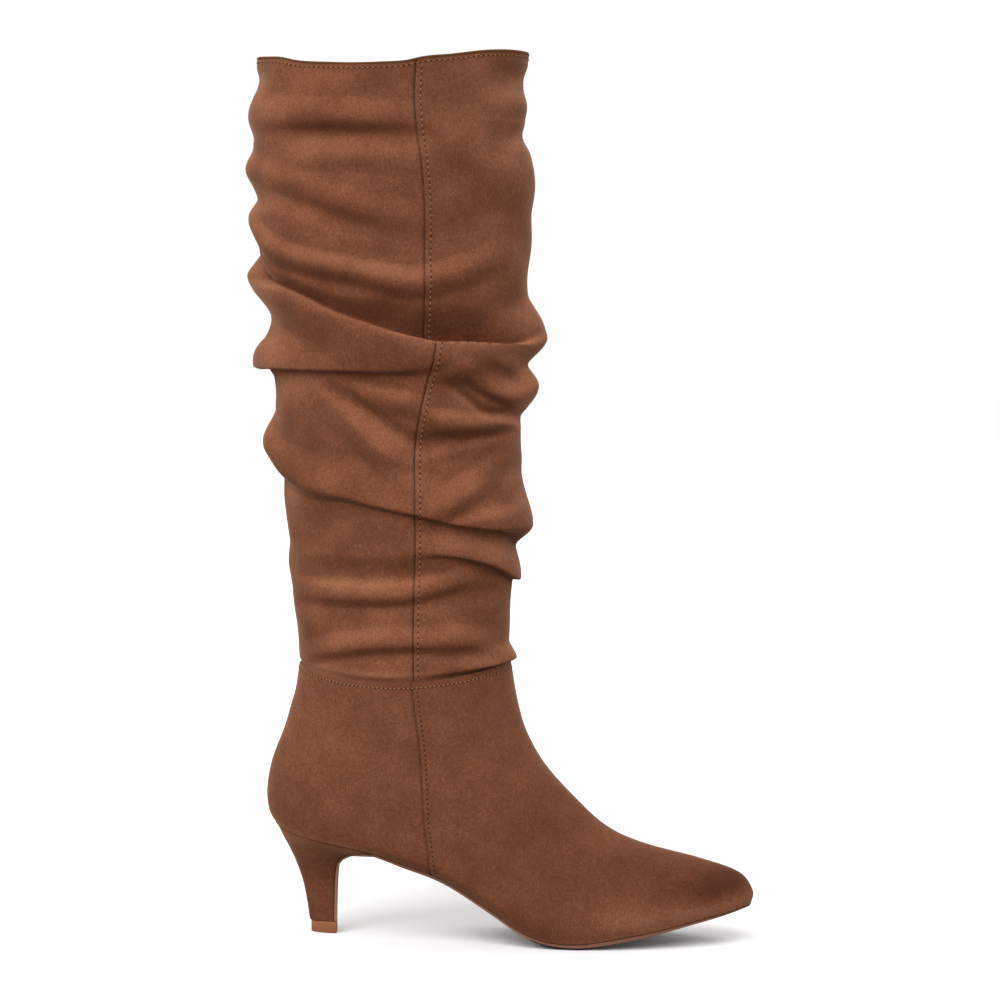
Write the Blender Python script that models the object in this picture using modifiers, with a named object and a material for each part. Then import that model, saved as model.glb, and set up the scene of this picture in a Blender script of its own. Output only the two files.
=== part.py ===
"""Right boot of a tall slouched pair: pointed toe, slim curved heel, loose shaft sewn into the ankle edge.

The tables are in millimetres on the shoemaker's own axes: x from the heel's rearmost point to the toe,
y from the outer side (minus) to the inner side (plus), z up from the floor. stand() turns them into metres
about the part's origin, under the middle of the boot. The angle "turn" goes round the shaft in degrees:
0 at the front, 90 at the outer side, 180 at the back, 270 at the inner side.
"""

import math
from collections import namedtuple

import bmesh
import bpy
import numpy as np

# Driving dimensions, in millimetres
HEEL_BACK_X = -126.5
LENGTH = 263.0
BALL_WIDTH = 74.0
HEEL_LIFT = 61.5
ANKLE_BACK = 146.0
ANKLE_FRONT = 147.5
UPPER_WALL = 1.8
SHAFT_WALL = 1.6
INSOLE_THICK = 2.5
GAP = 0.3
LAP = 8.0
RIM_CLEAR = 1.0
TUCK_RELEASE = 6.0
SOLE_INSET = 0.5
SOLE_THICK = 2.7
FLAP_THICK = 1.5
TREAD_DOME = 1.5
TIP_HEIGHT = 6.2
TIP_BEVEL = 0.5
TOE_SWING = 5.0
METRE = 0.001

# How finely each piece is faceted
COLUMNS_ROUND = 40
UPPER_ROWS, SHAFT_ROWS = 14, 43
SOLE_COLUMNS, SOLE_ROWS, FLAP_ROWS = 6, 32, 9
INSOLE_COLUMNS, INSOLE_ROWS = 4, 28
END_CROWDING = 0.4
HEEL_COLUMNS, HEEL_BREAST_COLUMNS, HEEL_ROWS = 26, 2, 13

# The last's bottom from heel to toe: share of the length, share of the heel's lift
SoleRow = namedtuple("SoleRow", "along lift")
SOLE_PROFILE = (
    SoleRow(0.015, 1.000),
    SoleRow(0.145, 0.854),
    SoleRow(0.243, 0.753),
    SoleRow(0.376, 0.566),
    SoleRow(0.475, 0.330),
    SoleRow(0.563, 0.120),
    SoleRow(0.639, 0.063),
    SoleRow(0.753, 0.117),
    SoleRow(0.875, 0.227),
    SoleRow(0.995, 0.330),
)

# Lines round the last, from the feather edge to the ankle. back and front are where a line crosses the
# boot's own profile; sag is the share of the sole's hollow that it follows; half is a share of the ball's
# half width; wide_at is where along the line it is widest; the powers round its two ends; nip is how far the
# waist pulls in.
Ring = namedtuple(
    "Ring",
    "back_x back_z front_x front_z sag half wide_at back_power front_power front_close nip",
)
RINGS = (
    Ring(4.5, 61.2, 260.6, 20.2, 1.00, 0.935, 0.62, 3.5, 1.95, 0.70, 12.5),
    Ring(1.2, 67.0, 263.2, 27.3, 0.94, 1.000, 0.62, 4.0, 1.95, 0.68, 9.5),
    Ring(0.0, 76.0, 256.0, 37.0, 0.85, 0.990, 0.61, 4.3, 2.00, 0.66, 7.0),
    Ring(1.0, 86.0, 235.6, 44.2, 0.71, 0.955, 0.60, 4.5, 2.00, 0.64, 4.5),
    Ring(3.2, 95.0, 204.6, 52.1, 0.55, 0.935, 0.57, 4.2, 2.00, 0.64, 2.5),
    Ring(6.2, 103.0, 185.0, 61.0, 0.40, 0.930, 0.55, 3.8, 2.00, 0.60, 1.0),
    Ring(9.2, 110.0, 168.0, 76.0, 0.30, 0.940, 0.53, 3.3, 2.00, 0.56, 0.0),
    Ring(11.7, 117.5, 152.0, 93.5, 0.25, 0.955, 0.52, 2.9, 2.00, 0.53, 0.0),
    Ring(14.0, 125.5, 142.0, 111.0, 0.23, 0.980, 0.51, 2.5, 2.00, 0.51, 0.0),
    Ring(15.8, 133.0, 137.0, 128.0, 0.23, 1.005, 0.50, 2.2, 2.00, 0.50, 0.0),
    Ring(17.5, ANKLE_BACK, 133.4, ANKLE_FRONT, 0.24, 1.040, 0.50, 2.0, 2.00, 0.50, 0.0),
)
EVEN_HOLLOW = 36.6
WAIST_AT, WAIST_LENGTH = 0.36, 0.14
OUTER_NIP, INNER_NIP = 0.7, 1.3

# The shaft's plain tube under its folds
ShaftRow = namedtuple("ShaftRow", "height back_x front_x half_width")
SHAFT_TUBE = (
    ShaftRow(130.0, 15.7, 136.5, 37.4),
    ShaftRow(146.0, 17.5, 133.4, 38.4),
    ShaftRow(180.0, 15.8, 133.4, 40.5),
    ShaftRow(232.0, 11.5, 137.0, 43.5),
    ShaftRow(286.0, 5.6, 139.8, 46.5),
    ShaftRow(340.0, -0.6, 142.5, 48.5),
    ShaftRow(394.0, -5.2, 144.0, 49.5),
    ShaftRow(447.0, -5.4, 140.6, 50.5),
    ShaftRow(474.0, -3.0, 141.5, 51.0),
)
CollarRow = namedtuple("CollarRow", "turn height")
COLLAR_EDGE = (
    CollarRow(0.0, 472.5),
    CollarRow(58.0, 468.2),
    CollarRow(96.0, 462.0),
    CollarRow(143.0, 468.0),
    CollarRow(180.0, 471.5),
    CollarRow(225.0, 468.0),
    CollarRow(268.0, 464.0),
    CollarRow(315.0, 469.0),
    CollarRow(360.0, 472.5),
)

# The slouch. Each fold runs through its points (turn, height, push). push is how far it stands out, or in
# where it is negative, and it dies away over "above" and "below" on either side of the line.
Fold = namedtuple("Fold", "name above below points")
FOLDS = (
    Fold("top_ridge", 14, 12, (
        (60, 443, 0), (100, 443, 1.8), (150, 441, 3.0), (180, 441, 3.4), (235, 443, 2.4),
        (290, 446, 0),
    )),
    Fold("top_trough", 9, 9, (
        (66, 430, 0), (84, 431, -2.0), (112, 432, -2.2), (146, 425, -1.5), (180, 427, -0.8),
        (215, 429, 0),
    )),
    Fold("second_ridge", 12, 13, (
        (60, 420, 0), (100, 420, 2.0), (140, 415, 2.6), (180, 413, 3.4), (225, 416, 2.0),
        (262, 420, 0),
    )),
    Fold("second_trough", 10, 10, (
        (62, 388, 0), (93, 391, -1.8), (130, 398, -1.4), (180, 397, -1.6), (240, 392, -1.6),
        (285, 388, 0),
    )),
    Fold("third_ridge", 12, 12, (
        (18, 371, 0), (50, 357, 2.0), (90, 356, 2.6), (129, 370, 2.4), (180, 386, 3.4),
        (225, 378, 2.4), (262, 372, 0),
    )),
    Fold("third_trough", 11, 10, (
        (-12, 334, 0), (30, 331, -1.4), (75, 335, -2.6), (119, 346, -2.6), (180, 371, -2.0),
        (228, 362, -2.0), (275, 352, 0),
    )),
    Fold("front_bulge", 24, 24, (
        (-70, 402, 0), (-25, 406, 2.4), (10, 404, 2.8), (45, 404, 0),
    )),
    Fold("main_lip", 9, 14, (
        (-110, 326, 0), (-70, 322, 3.6), (-20, 318, 3.0), (0, 317, 3.0), (43, 312, 4.6),
        (66, 313, 4.2), (105, 327, 4.6), (132, 340, 5.2), (180, 358, 8.5), (215, 354, 6.0),
        (250, 340, 0),
    )),
    Fold("front_nose", 24, 12, (
        (-55, 326, 0), (-18, 324, 5.0), (0, 323, 7.0), (26, 320, 3.6), (50, 318, 0),
    )),
    Fold("band_hollow", 12, 10, (
        (110, 327, 0), (145, 332, -2.0), (180, 335, -3.4), (215, 332, -2.4), (245, 328, 0),
    )),
    Fold("band_lip", 16, 8, (
        (58, 311, 0), (84, 309, 3.0), (116, 309, 3.6), (150, 310, 5.6), (180, 311, 8.4),
        (212, 313, 6.0), (255, 318, 0),
    )),
    Fold("front_roll", 9, 17, (
        (-75, 302, 0), (-28, 298, 4.6), (0, 296, 7.0), (24, 293, 4.0), (62, 302, 0),
    )),
    Fold("front_tuck", 9, 9, (
        (-40, 279, 0), (0, 281, -1.6), (30, 277, -2.2), (60, 272, -1.8), (76, 270, 0),
    )),
    Fold("outer_sweep", 13, 13, (
        (70, 246, 0), (83, 268, 2.4), (102, 284, 2.4), (122, 296, 0),
    )),
    Fold("front_sweep", 10, 10, (
        (14, 256, 0), (30, 252, 2.0), (48, 246, 2.0), (66, 236, 0),
    )),
    Fold("inner_sweep", 16, 12, (
        (225, 300, 0), (258, 288, 3.6), (290, 274, 3.6), (325, 266, 0),
    )),
    Fold("pouch_lip", 20, 9, (
        (-80, 238, 0), (-35, 228, 6.0), (0, 224, 10.0), (24, 225, 6.0), (59, 230, 3.6), (94, 238, 3.4),
        (121, 245, 3.6), (150, 256, 6.0), (180, 264, 9.8), (215, 262, 6.4), (255, 252, 0),
    )),
    Fold("inner_pouch", 18, 9, (
        (228, 224, 0), (262, 220, 4.0), (300, 212, 3.4), (335, 208, 0),
    )),
    Fold("front_pocket", 12, 8, (
        (-45, 206, 0), (-12, 200, 4.6), (0, 198, 6.0), (38, 207, 3.6), (56, 211, 2.2), (78, 212, 0),
    )),
    Fold("lower_ridge", 9, 9, (
        (36, 197, 0), (63, 192, 2.0), (95, 192, 2.6), (130, 193, 2.0), (165, 195, 0.8), (185, 196, 0),
    )),
    Fold("lower_trough", 9, 9, (
        (-15, 187, 0), (5, 187, -0.8), (38, 185, -1.6), (77, 180, -2.2), (119, 181, -2.0),
        (160, 181, -0.8), (200, 182, 0),
    )),
    Fold("ankle_ridge", 8, 7, (
        (10, 164, 0), (40, 167, 1.6), (80, 169, 2.2), (113, 166, 2.0), (147, 163, 1.0), (170, 162, 0),
    )),
    Fold("inner_ridge", 10, 10, (
        (196, 176, 0), (240, 180, 2.4), (290, 184, 2.4), (330, 180, 0),
    )),
    Fold("ankle_bulge", 6, 6, (
        (-62, 155, 0), (-25, 154, 4.0), (0, 154, 5.6), (30, 153, 3.2), (66, 150, 0),
    )),
)

# The heel block, as slanted sections from the seat down to the top lift
HeelRow = namedtuple("HeelRow", "back_x back_z front_x front_z half power")
HEEL_SECTIONS = (
    HeelRow(5.3, 60.8, 57.0, 47.7, 26.0, 3.0),
    HeelRow(7.6, 55.0, 52.0, 46.6, 23.4, 2.8),
    HeelRow(11.2, 48.0, 44.8, 45.1, 19.8, 2.6),
    HeelRow(14.4, 41.5, 39.7, 41.4, 16.4, 2.4),
    HeelRow(16.8, 35.4, 37.3, 36.2, 13.4, 2.3),
    HeelRow(19.0, 29.0, 36.4, 29.0, 11.0, 2.2),
    HeelRow(21.4, 18.0, 35.8, 18.0, 8.7, 2.2),
    HeelRow(23.0, 6.5, 35.5, 6.5, 7.3, 2.2),
)
HEEL_ROUND_SHARE = 1 - HEEL_BREAST_COLUMNS / HEEL_COLUMNS

# The outsole's flap over the heel's breast, as the line of its inner face
FlapRow = namedtuple("FlapRow", "x z half")
FLAP_LINE = (
    FlapRow(64.0, 46.0, 27.0),
    FlapRow(58.0, 46.7, 26.2),
    FlapRow(52.0, 46.2, 23.4),
    FlapRow(44.8, 44.7, 19.8),
    FlapRow(40.0, 41.0, 16.4),
    FlapRow(37.6, 36.0, 13.4),
    FlapRow(36.7, 29.0, 11.0),
    FlapRow(36.1, 18.0, 8.7),
    FlapRow(35.8, 6.8, 7.3),
)
WAIST_END_X = FLAP_LINE[0].x
TOE_END_HALF = 1.5
INSOLE_TOE_CUT = 9.0
TIP_BACK_X, TIP_FRONT_X, TIP_HALF, TIP_POWER = 23.6, 37.5, 7.5, 2.2

# The outsole's thickness along the boot: thin down the breast and through the waist, full at the ball
EdgeRow = namedtuple("EdgeRow", "x thick")
SOLE_EDGE = (
    EdgeRow(35.0, FLAP_THICK),
    EdgeRow(64.0, 1.3),
    EdgeRow(118.0, 1.3),
    EdgeRow(150.0, 2.4),
    EdgeRow(172.0, SOLE_THICK),
    EdgeRow(225.0, 2.0),
    EdgeRow(262.0, 1.3),
)

# Colours as linear red, green and blue, with roughness
SUEDE = ("brown_suede", (0.181, 0.063, 0.031), 0.95)
SOLE_BROWN = ("sole_brown", (0.12, 0.055, 0.033), 0.6)
LIFT_TAN = ("top_lift_tan", (0.30, 0.105, 0.042), 0.5)
SOCK_BEIGE = ("sock_beige", (0.36, 0.22, 0.13), 0.8)


def smooth(at, knots, values):
    """Values on a smooth curve through the knots: cubic Hermite pieces with the neighbours' slopes."""
    knots = np.asarray(knots, float)
    values = np.asarray(values, float)
    slopes = np.gradient(values, knots)
    at = np.clip(at, knots[0], knots[-1])
    left = np.clip(np.searchsorted(knots, at, side="right") - 1, 0, len(knots) - 2)
    step = knots[left + 1] - knots[left]
    t = (at - knots[left]) / step
    rise = t * t * (3 - 2 * t)
    bend = step * t * (1 - t) * ((1 - t) * slopes[left] - t * slopes[left + 1])
    return values[left] * (1 - rise) + values[left + 1] * rise + bend


def read_table(rows, column, at, key=None):
    """One column of a table, read smoothly against its key column, or else by the share of the way down."""
    knots = np.linspace(0, 1, len(rows)) if key is None else [getattr(row, key) for row in rows]
    return smooth(at, knots, [getattr(row, column) for row in rows])


def sole_height(x):
    return HEEL_LIFT * read_table(SOLE_PROFILE, "lift", np.asarray(x) / LENGTH, "along")


def sole_hollow(share, level):
    """How far the sole lies under the straight line from heel to toe, evened out towards the ankle."""
    edge = RINGS[0]
    straight = edge.back_z + (edge.front_z - edge.back_z) * share
    hollow = straight - sole_height(edge.back_x + (edge.front_x - edge.back_x) * share)
    return hollow * (1 - level) + EVEN_HOLLOW * 4 * share * (1 - share) * level


def toe_swing(x):
    """The last's centre line leaves the heel's axis towards the big toe."""
    return TOE_SWING * np.clip((np.asarray(x) - LENGTH / 2) / (LENGTH / 2), 0, 1) ** 2


def ring_half_width(level, share, inner):
    """Half width of the line at that level, at a share of the way from heel to toe, on one side."""
    wide_at = read_table(RINGS, "wide_at", level)
    behind = np.clip((wide_at - share) / wide_at, 0, 1)
    ahead = np.clip((share - wide_at) / (1 - wide_at), 0, 1)
    back_end = (1 - behind ** read_table(RINGS, "back_power", level)) ** 0.5
    front_close = read_table(RINGS, "front_close", level)
    front_end = (1 - ahead ** read_table(RINGS, "front_power", level)) ** front_close
    waist = np.exp(-(((share - WAIST_AT) / WAIST_LENGTH) ** 2)) * back_end
    nip = read_table(RINGS, "nip", level) * np.where(inner, INNER_NIP, OUTER_NIP)
    return read_table(RINGS, "half", level) * BALL_WIDTH / 2 * back_end * front_end - nip * waist


def upper_surface(u, v):
    """The upper's outside: u from the heel along the outer side to the toe and back, v from sole to ankle."""
    inner = u > 0.5
    share = (1 - np.cos(2 * math.pi * u)) / 2
    back_x = read_table(RINGS, "back_x", v)
    back_z = read_table(RINGS, "back_z", v)
    x = back_x + (read_table(RINGS, "front_x", v) - back_x) * share
    y = ring_half_width(v, share, inner) * np.where(inner, 1, -1) + toe_swing(x)
    z = back_z + (read_table(RINGS, "front_z", v) - back_z) * share
    return np.stack([x, y, z - read_table(RINGS, "sag", v) * sole_hollow(share, v)], axis=1)


def ankle_edge_height(turn):
    ankle = RINGS[-1]
    share = (1 + np.cos(np.radians(turn))) / 2
    return ankle.back_z + (ankle.front_z - ankle.back_z) * share - ankle.sag * sole_hollow(share, 1)


def fold_push(turn, height):
    """How far the folds push the shaft out at each point."""
    push = np.zeros_like(height)
    for fold in FOLDS:
        turns, heights, pushes = zip(*fold.points)
        along = (turn - turns[0]) % 360 + turns[0]
        offset = height - smooth(along, turns, heights)
        reach = np.where(offset > 0, fold.above, fold.below)
        fade = np.clip(1 - (offset / reach) ** 2, 0, 1) ** 2
        push += np.where(along <= turns[-1], smooth(along, turns, pushes) * fade, 0)
    return push


def shaft_surface(u, v):
    """The shaft's outside: u round from the front, v from the lap inside the ankle edge to the collar."""
    turn = u * 360
    ankle = ankle_edge_height(turn) + RIM_CLEAR
    row = v * SHAFT_ROWS
    climb = (read_table(COLLAR_EDGE, "height", turn, "turn") - ankle) / (SHAFT_ROWS - 1)
    height = ankle + np.where(row < 1, (LAP + RIM_CLEAR) * (row - 1), climb * (row - 1))
    back_x = read_table(SHAFT_TUBE, "back_x", height, "height")
    front_x = read_table(SHAFT_TUBE, "front_x", height, "height")
    clear = np.clip((height - ankle) / TUCK_RELEASE, 0, 1)
    clear = clear * clear * (3 - 2 * clear)
    out = fold_push(turn, height) * clear - (UPPER_WALL + GAP) * (1 - clear)
    half_length = (front_x - back_x) / 2
    half_width = read_table(SHAFT_TUBE, "half_width", height, "height")
    across = np.stack([np.cos(np.radians(turn)) * half_width, -np.sin(np.radians(turn)) * half_length])
    across /= np.hypot(*across)
    x = (back_x + front_x) / 2 + half_length * np.cos(np.radians(turn)) + across[0] * out
    y = -half_width * np.sin(np.radians(turn)) + across[1] * out
    return np.stack([x, y, height], axis=1)


def feather_halves(x, inset):
    """Outer and inner half widths of the feather edge at x, taken in all round."""
    edge = RINGS[0]
    share = np.clip((x - edge.back_x) / (edge.front_x - edge.back_x), 0, 1)
    level = np.zeros_like(share)
    return [ring_half_width(level, share, np.full(share.shape, inner)) - inset for inner in (False, True)]


def dome(across):
    """The tread is rounder than its edges: how far its middle hangs lower."""
    return TREAD_DOME * (1 - across**2)


def sole_across(x, across, outer, inner):
    return toe_swing(x) + np.where(across < 0, outer, inner) * across


def tread_share(x):
    """The dome belongs to the forefoot and dies away through the waist."""
    return np.clip((x - WAIST_END_X) / (0.5 * LENGTH - WAIST_END_X), 0, 1)


def outsole_line():
    """x, z, outer half and inner half along the outsole's inner face, from the toe to the breast's foot."""
    steps = np.linspace(0, 1, SOLE_ROWS)
    toe_x = RINGS[0].front_x - SOLE_INSET
    x = toe_x + (WAIST_END_X - toe_x) * (steps - END_CROWDING * steps * (1 - steps))
    outer, inner = (np.maximum(half, TOE_END_HALF) for half in feather_halves(x, SOLE_INSET))
    down = np.linspace(0, 1, FLAP_ROWS + 1)[1:]
    flap = [read_table(FLAP_LINE, column, down) for column in ("x", "z", "half", "half")]
    fore = [x, sole_height(x) - GAP, outer, inner]
    return [np.concatenate(pair) for pair in zip(fore, flap)]


def outsole_surface(u, v):
    x, z, outer, inner = outsole_line()
    row = np.rint(v * (len(x) - 1)).astype(int)
    across = 2 * u - 1
    y = sole_across(x[row], across, outer[row], inner[row])
    return np.stack([x[row], y, z[row] - dome(across) * tread_share(x[row])], axis=1)


def insole_surface(u, v):
    """The insole's underside, inside the upper's wall."""
    inset = UPPER_WALL + 4 * GAP
    heel_x = RINGS[0].back_x + inset
    toe_x = RINGS[0].front_x - INSOLE_TOE_CUT
    x = heel_x + (toe_x - heel_x) * (v - END_CROWDING * np.sin(2 * math.pi * v) / (2 * math.pi))
    outer, inner = (np.maximum(half, TOE_END_HALF) for half in feather_halves(x, inset))
    across = 2 * u - 1
    z = sole_height(x) - dome(across) * tread_share(x)
    return np.stack([x, sole_across(x, across, outer, inner), z], axis=1)


def horseshoe(u, back_x, front_x, half, power):
    """x and y round a section with a round back and a straight front, and the share of the way there."""
    sweep = np.round(np.clip(u / HEEL_ROUND_SHARE, 0, 1) * 2 - 1, 4)
    share = 1 - np.cos(sweep * math.pi / 2)
    side = np.sign(sweep) * half * (1 - (1 - share) ** power) ** 0.5
    breast = np.clip((u - HEEL_ROUND_SHARE) / (1 - HEEL_ROUND_SHARE), 0, 1)
    x = back_x + (front_x - back_x) * share
    return x, np.where(u > HEEL_ROUND_SHARE, half * (1 - 2 * breast), side), share


def heel_surface(u, v):
    """The heel block's outside: v from the middle of the seat out to its edge, then down to the top lift."""
    down = np.clip((v * HEEL_ROWS - 1) / (HEEL_ROWS - 1), 0, 1)
    row = {column: read_table(HEEL_SECTIONS, column, down) for column in HeelRow._fields}
    x, y, share = horseshoe(u, row["back_x"], row["front_x"], row["half"], row["power"])
    slanted = row["back_z"] + (row["front_z"] - row["back_z"]) * share
    return np.stack([x, np.where(v == 0, 0, y), np.where(down == 0, sole_height(x) - GAP, slanted)], axis=1)


def tip_surface(u, v):
    x, y, _ = horseshoe(u, TIP_BACK_X, TIP_FRONT_X, TIP_HALF, TIP_POWER)
    return np.stack([x, y, v * TIP_HEIGHT], axis=1)


def stand(points):
    """Millimetres from the heel's back, made metres from the part's origin."""
    return (points + np.array([HEEL_BACK_X, 0, 0])) * METRE


def grid_on(surface, columns, rows):
    """A bmesh grid laid on a surface of u and v."""
    mesh = bmesh.new()
    bmesh.ops.create_grid(mesh, x_segments=columns, y_segments=rows, size=0.5)
    corners = np.round(np.array([vert.co for vert in mesh.verts]) + 0.5, 6)
    for vert, place in zip(mesh.verts, stand(surface(corners[:, 0], corners[:, 1]))):
        vert.co = place
    return mesh


def close_tube(mesh, cap_ends):
    """Sews a grid's two sides together, caps it where the piece is solid, and turns its faces outward."""
    bmesh.ops.remove_doubles(mesh, verts=mesh.verts, dist=1e-6)
    if cap_ends:
        bmesh.ops.holes_fill(mesh, edges=mesh.edges, sides=0)
    bmesh.ops.recalc_face_normals(mesh, faces=mesh.faces)
    if mesh.calc_volume(signed=True) < 0:
        bmesh.ops.reverse_faces(mesh, faces=mesh.faces)


def make_material(name, colour, roughness):
    material = bpy.data.materials.new(name)
    material.use_nodes = True
    shader = material.node_tree.nodes["Principled BSDF"]
    shader.inputs["Base Color"].default_value = (*colour, 1)
    shader.inputs["Roughness"].default_value = roughness
    shader.inputs["Metallic"].default_value = 0
    return material


def add_object(name, mesh, collection, parent, material=None):
    data = bpy.data.meshes.new(name)
    mesh.to_mesh(data)
    mesh.free()
    data.shade_smooth()
    piece = bpy.data.objects.new(name, data)
    collection.objects.link(piece)
    piece.parent = parent
    if material is not None:
        data.materials.append(material)
    return piece


def give_wall(piece, thickness, outward):
    """Thickens an open surface, outward along its normals or inward."""
    wall = piece.modifiers.new("wall", "SOLIDIFY")
    wall.thickness = thickness * METRE
    wall.offset = 1 if outward else -1
    wall.use_even_offset = True
    return wall


def point_normals(mesh, up):
    """Turns an open sheet's faces up, or down."""
    bmesh.ops.recalc_face_normals(mesh, faces=mesh.faces)
    middle = min(mesh.faces, key=lambda face: abs(face.calc_center_median().x))
    if (middle.normal.z > 0) != up:
        bmesh.ops.reverse_faces(mesh, faces=mesh.faces)


def skive(piece, wall):
    """The outsole is skived thinner away from the ball."""
    thin = piece.vertex_groups.new(name="thickness")
    for vert in piece.data.vertices:
        thick = float(read_table(SOLE_EDGE, "thick", vert.co.x / METRE - HEEL_BACK_X, "x"))
        thin.add([vert.index], thick / SOLE_THICK, "REPLACE")
    wall.vertex_group = thin.name


def cut_flat(piece, cutters, parent):
    """Grinds the tread flat where the forefoot stands on the floor."""
    mesh = bmesh.new()
    bmesh.ops.create_cube(mesh, size=1)
    depth = 0.02
    for vert in mesh.verts:
        vert.co.x *= LENGTH * 2 * METRE
        vert.co.y *= BALL_WIDTH * 2 * METRE
        vert.co.z = (vert.co.z - 0.5) * depth
    floor = add_object("floor_cutter", mesh, cutters, parent)
    floor.hide_render = True
    floor.display_type = "WIRE"
    cut = piece.modifiers.new("flat", "BOOLEAN")
    cut.operation = "DIFFERENCE"
    cut.object = floor


def main():
    for old in list(bpy.data.objects):
        bpy.data.objects.remove(old)
    boot = bpy.data.collections.new("tall_boot")
    cutters = bpy.data.collections.new("cutters")
    for collection in (boot, cutters):
        bpy.context.scene.collection.children.link(collection)
    origin = bpy.data.objects.new("boot_origin", None)
    boot.objects.link(origin)
    suede = make_material(*SUEDE)

    upper = grid_on(upper_surface, COLUMNS_ROUND, UPPER_ROWS)
    close_tube(upper, cap_ends=False)
    give_wall(add_object("upper", upper, boot, origin, suede), UPPER_WALL, outward=False)

    shaft = grid_on(shaft_surface, COLUMNS_ROUND, SHAFT_ROWS)
    close_tube(shaft, cap_ends=False)
    give_wall(add_object("shaft", shaft, boot, origin, suede), SHAFT_WALL, outward=False)

    insole = grid_on(insole_surface, INSOLE_COLUMNS, INSOLE_ROWS)
    point_normals(insole, up=True)
    sock = make_material(*SOCK_BEIGE)
    give_wall(add_object("insole", insole, boot, origin, sock), INSOLE_THICK, outward=True)

    sole = grid_on(outsole_surface, SOLE_COLUMNS, SOLE_ROWS + FLAP_ROWS - 1)
    point_normals(sole, up=False)
    outsole = add_object("outsole", sole, boot, origin, make_material(*SOLE_BROWN))
    skive(outsole, give_wall(outsole, SOLE_THICK, outward=True))
    cut_flat(outsole, cutters, origin)

    heel = grid_on(heel_surface, HEEL_COLUMNS, HEEL_ROWS)
    close_tube(heel, cap_ends=True)
    add_object("heel", heel, boot, origin, suede)

    lift = grid_on(tip_surface, HEEL_COLUMNS, 1)
    close_tube(lift, cap_ends=True)
    tip = add_object("heel_tip", lift, boot, origin, make_material(*LIFT_TAN))
    edge = tip.modifiers.new("edge", "BEVEL")
    edge.width = TIP_BEVEL * METRE
    edge.segments = 1


main()
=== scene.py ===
import math
from collections import namedtuple

import bpy
import numpy as np
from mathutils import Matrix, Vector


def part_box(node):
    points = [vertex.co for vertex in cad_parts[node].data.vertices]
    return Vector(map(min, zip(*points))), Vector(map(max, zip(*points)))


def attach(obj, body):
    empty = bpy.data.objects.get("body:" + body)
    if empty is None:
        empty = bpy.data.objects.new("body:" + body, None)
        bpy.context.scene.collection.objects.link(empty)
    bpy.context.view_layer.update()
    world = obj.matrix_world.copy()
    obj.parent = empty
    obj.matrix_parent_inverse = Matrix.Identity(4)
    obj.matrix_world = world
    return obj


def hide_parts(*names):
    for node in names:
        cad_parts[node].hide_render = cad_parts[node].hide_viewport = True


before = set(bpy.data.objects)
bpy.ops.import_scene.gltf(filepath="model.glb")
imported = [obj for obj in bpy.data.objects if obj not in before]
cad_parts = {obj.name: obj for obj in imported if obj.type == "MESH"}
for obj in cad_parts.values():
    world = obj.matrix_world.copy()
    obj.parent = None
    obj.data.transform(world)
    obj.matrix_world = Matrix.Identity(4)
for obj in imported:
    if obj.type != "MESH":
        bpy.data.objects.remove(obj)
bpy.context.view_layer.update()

bpy.ops.object.select_all(action="DESELECT")

# Sock
# A thin padded board lies on the sole inside the foot, covered with beige textile. It is glued down last, and shows
# only through the collar.
MILLIMETRE = 0.001
heel_back_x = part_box("upper")[0].x
SOCK_THICK, SOCK_INSET, SOCK_TOE_CUT, SOCK_GAP = 2.2, 3.2, 9.0, 0.1
SOCK_COLUMNS, SOCK_ROWS, SOCK_CROWDING = 16, 90, 0.4
SOCK_BEIGE = (0.36, 0.22, 0.13)
LENGTH = 263.0
HEEL_LIFT = 61.5
BALL_WIDTH = 74.0
TOE_SWING = 5.0
LEAST_HALF = 1.2
TREAD_DOME = 1.5
WAIST_END_X, DOME_FULL_X = 64.0, 131.5
TOE_FLAT_FROM_X, TOE_FLAT_TO_X = 200.0, 260.0


def table(row, *values):
    """Named rows from plain values."""
    return tuple(row(*value) for value in values)


# The last's bottom from heel to toe: share of the length, share of the heel's lift
SoleRow = namedtuple("SoleRow", "along lift")
SOLE_PROFILE = table(
    SoleRow,
    (0.015, 0.985), (0.050, 0.931), (0.090, 0.890), (0.145, 0.852), (0.200, 0.812), (0.245, 0.768), (0.300, 0.683),
    (0.376, 0.566), (0.475, 0.330), (0.563, 0.112), (0.600, 0.0665), (0.639, 0.0525), (0.753, 0.112),
    (0.844, 0.188), (0.875, 0.219), (0.935, 0.272), (0.995, 0.329),
)

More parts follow.
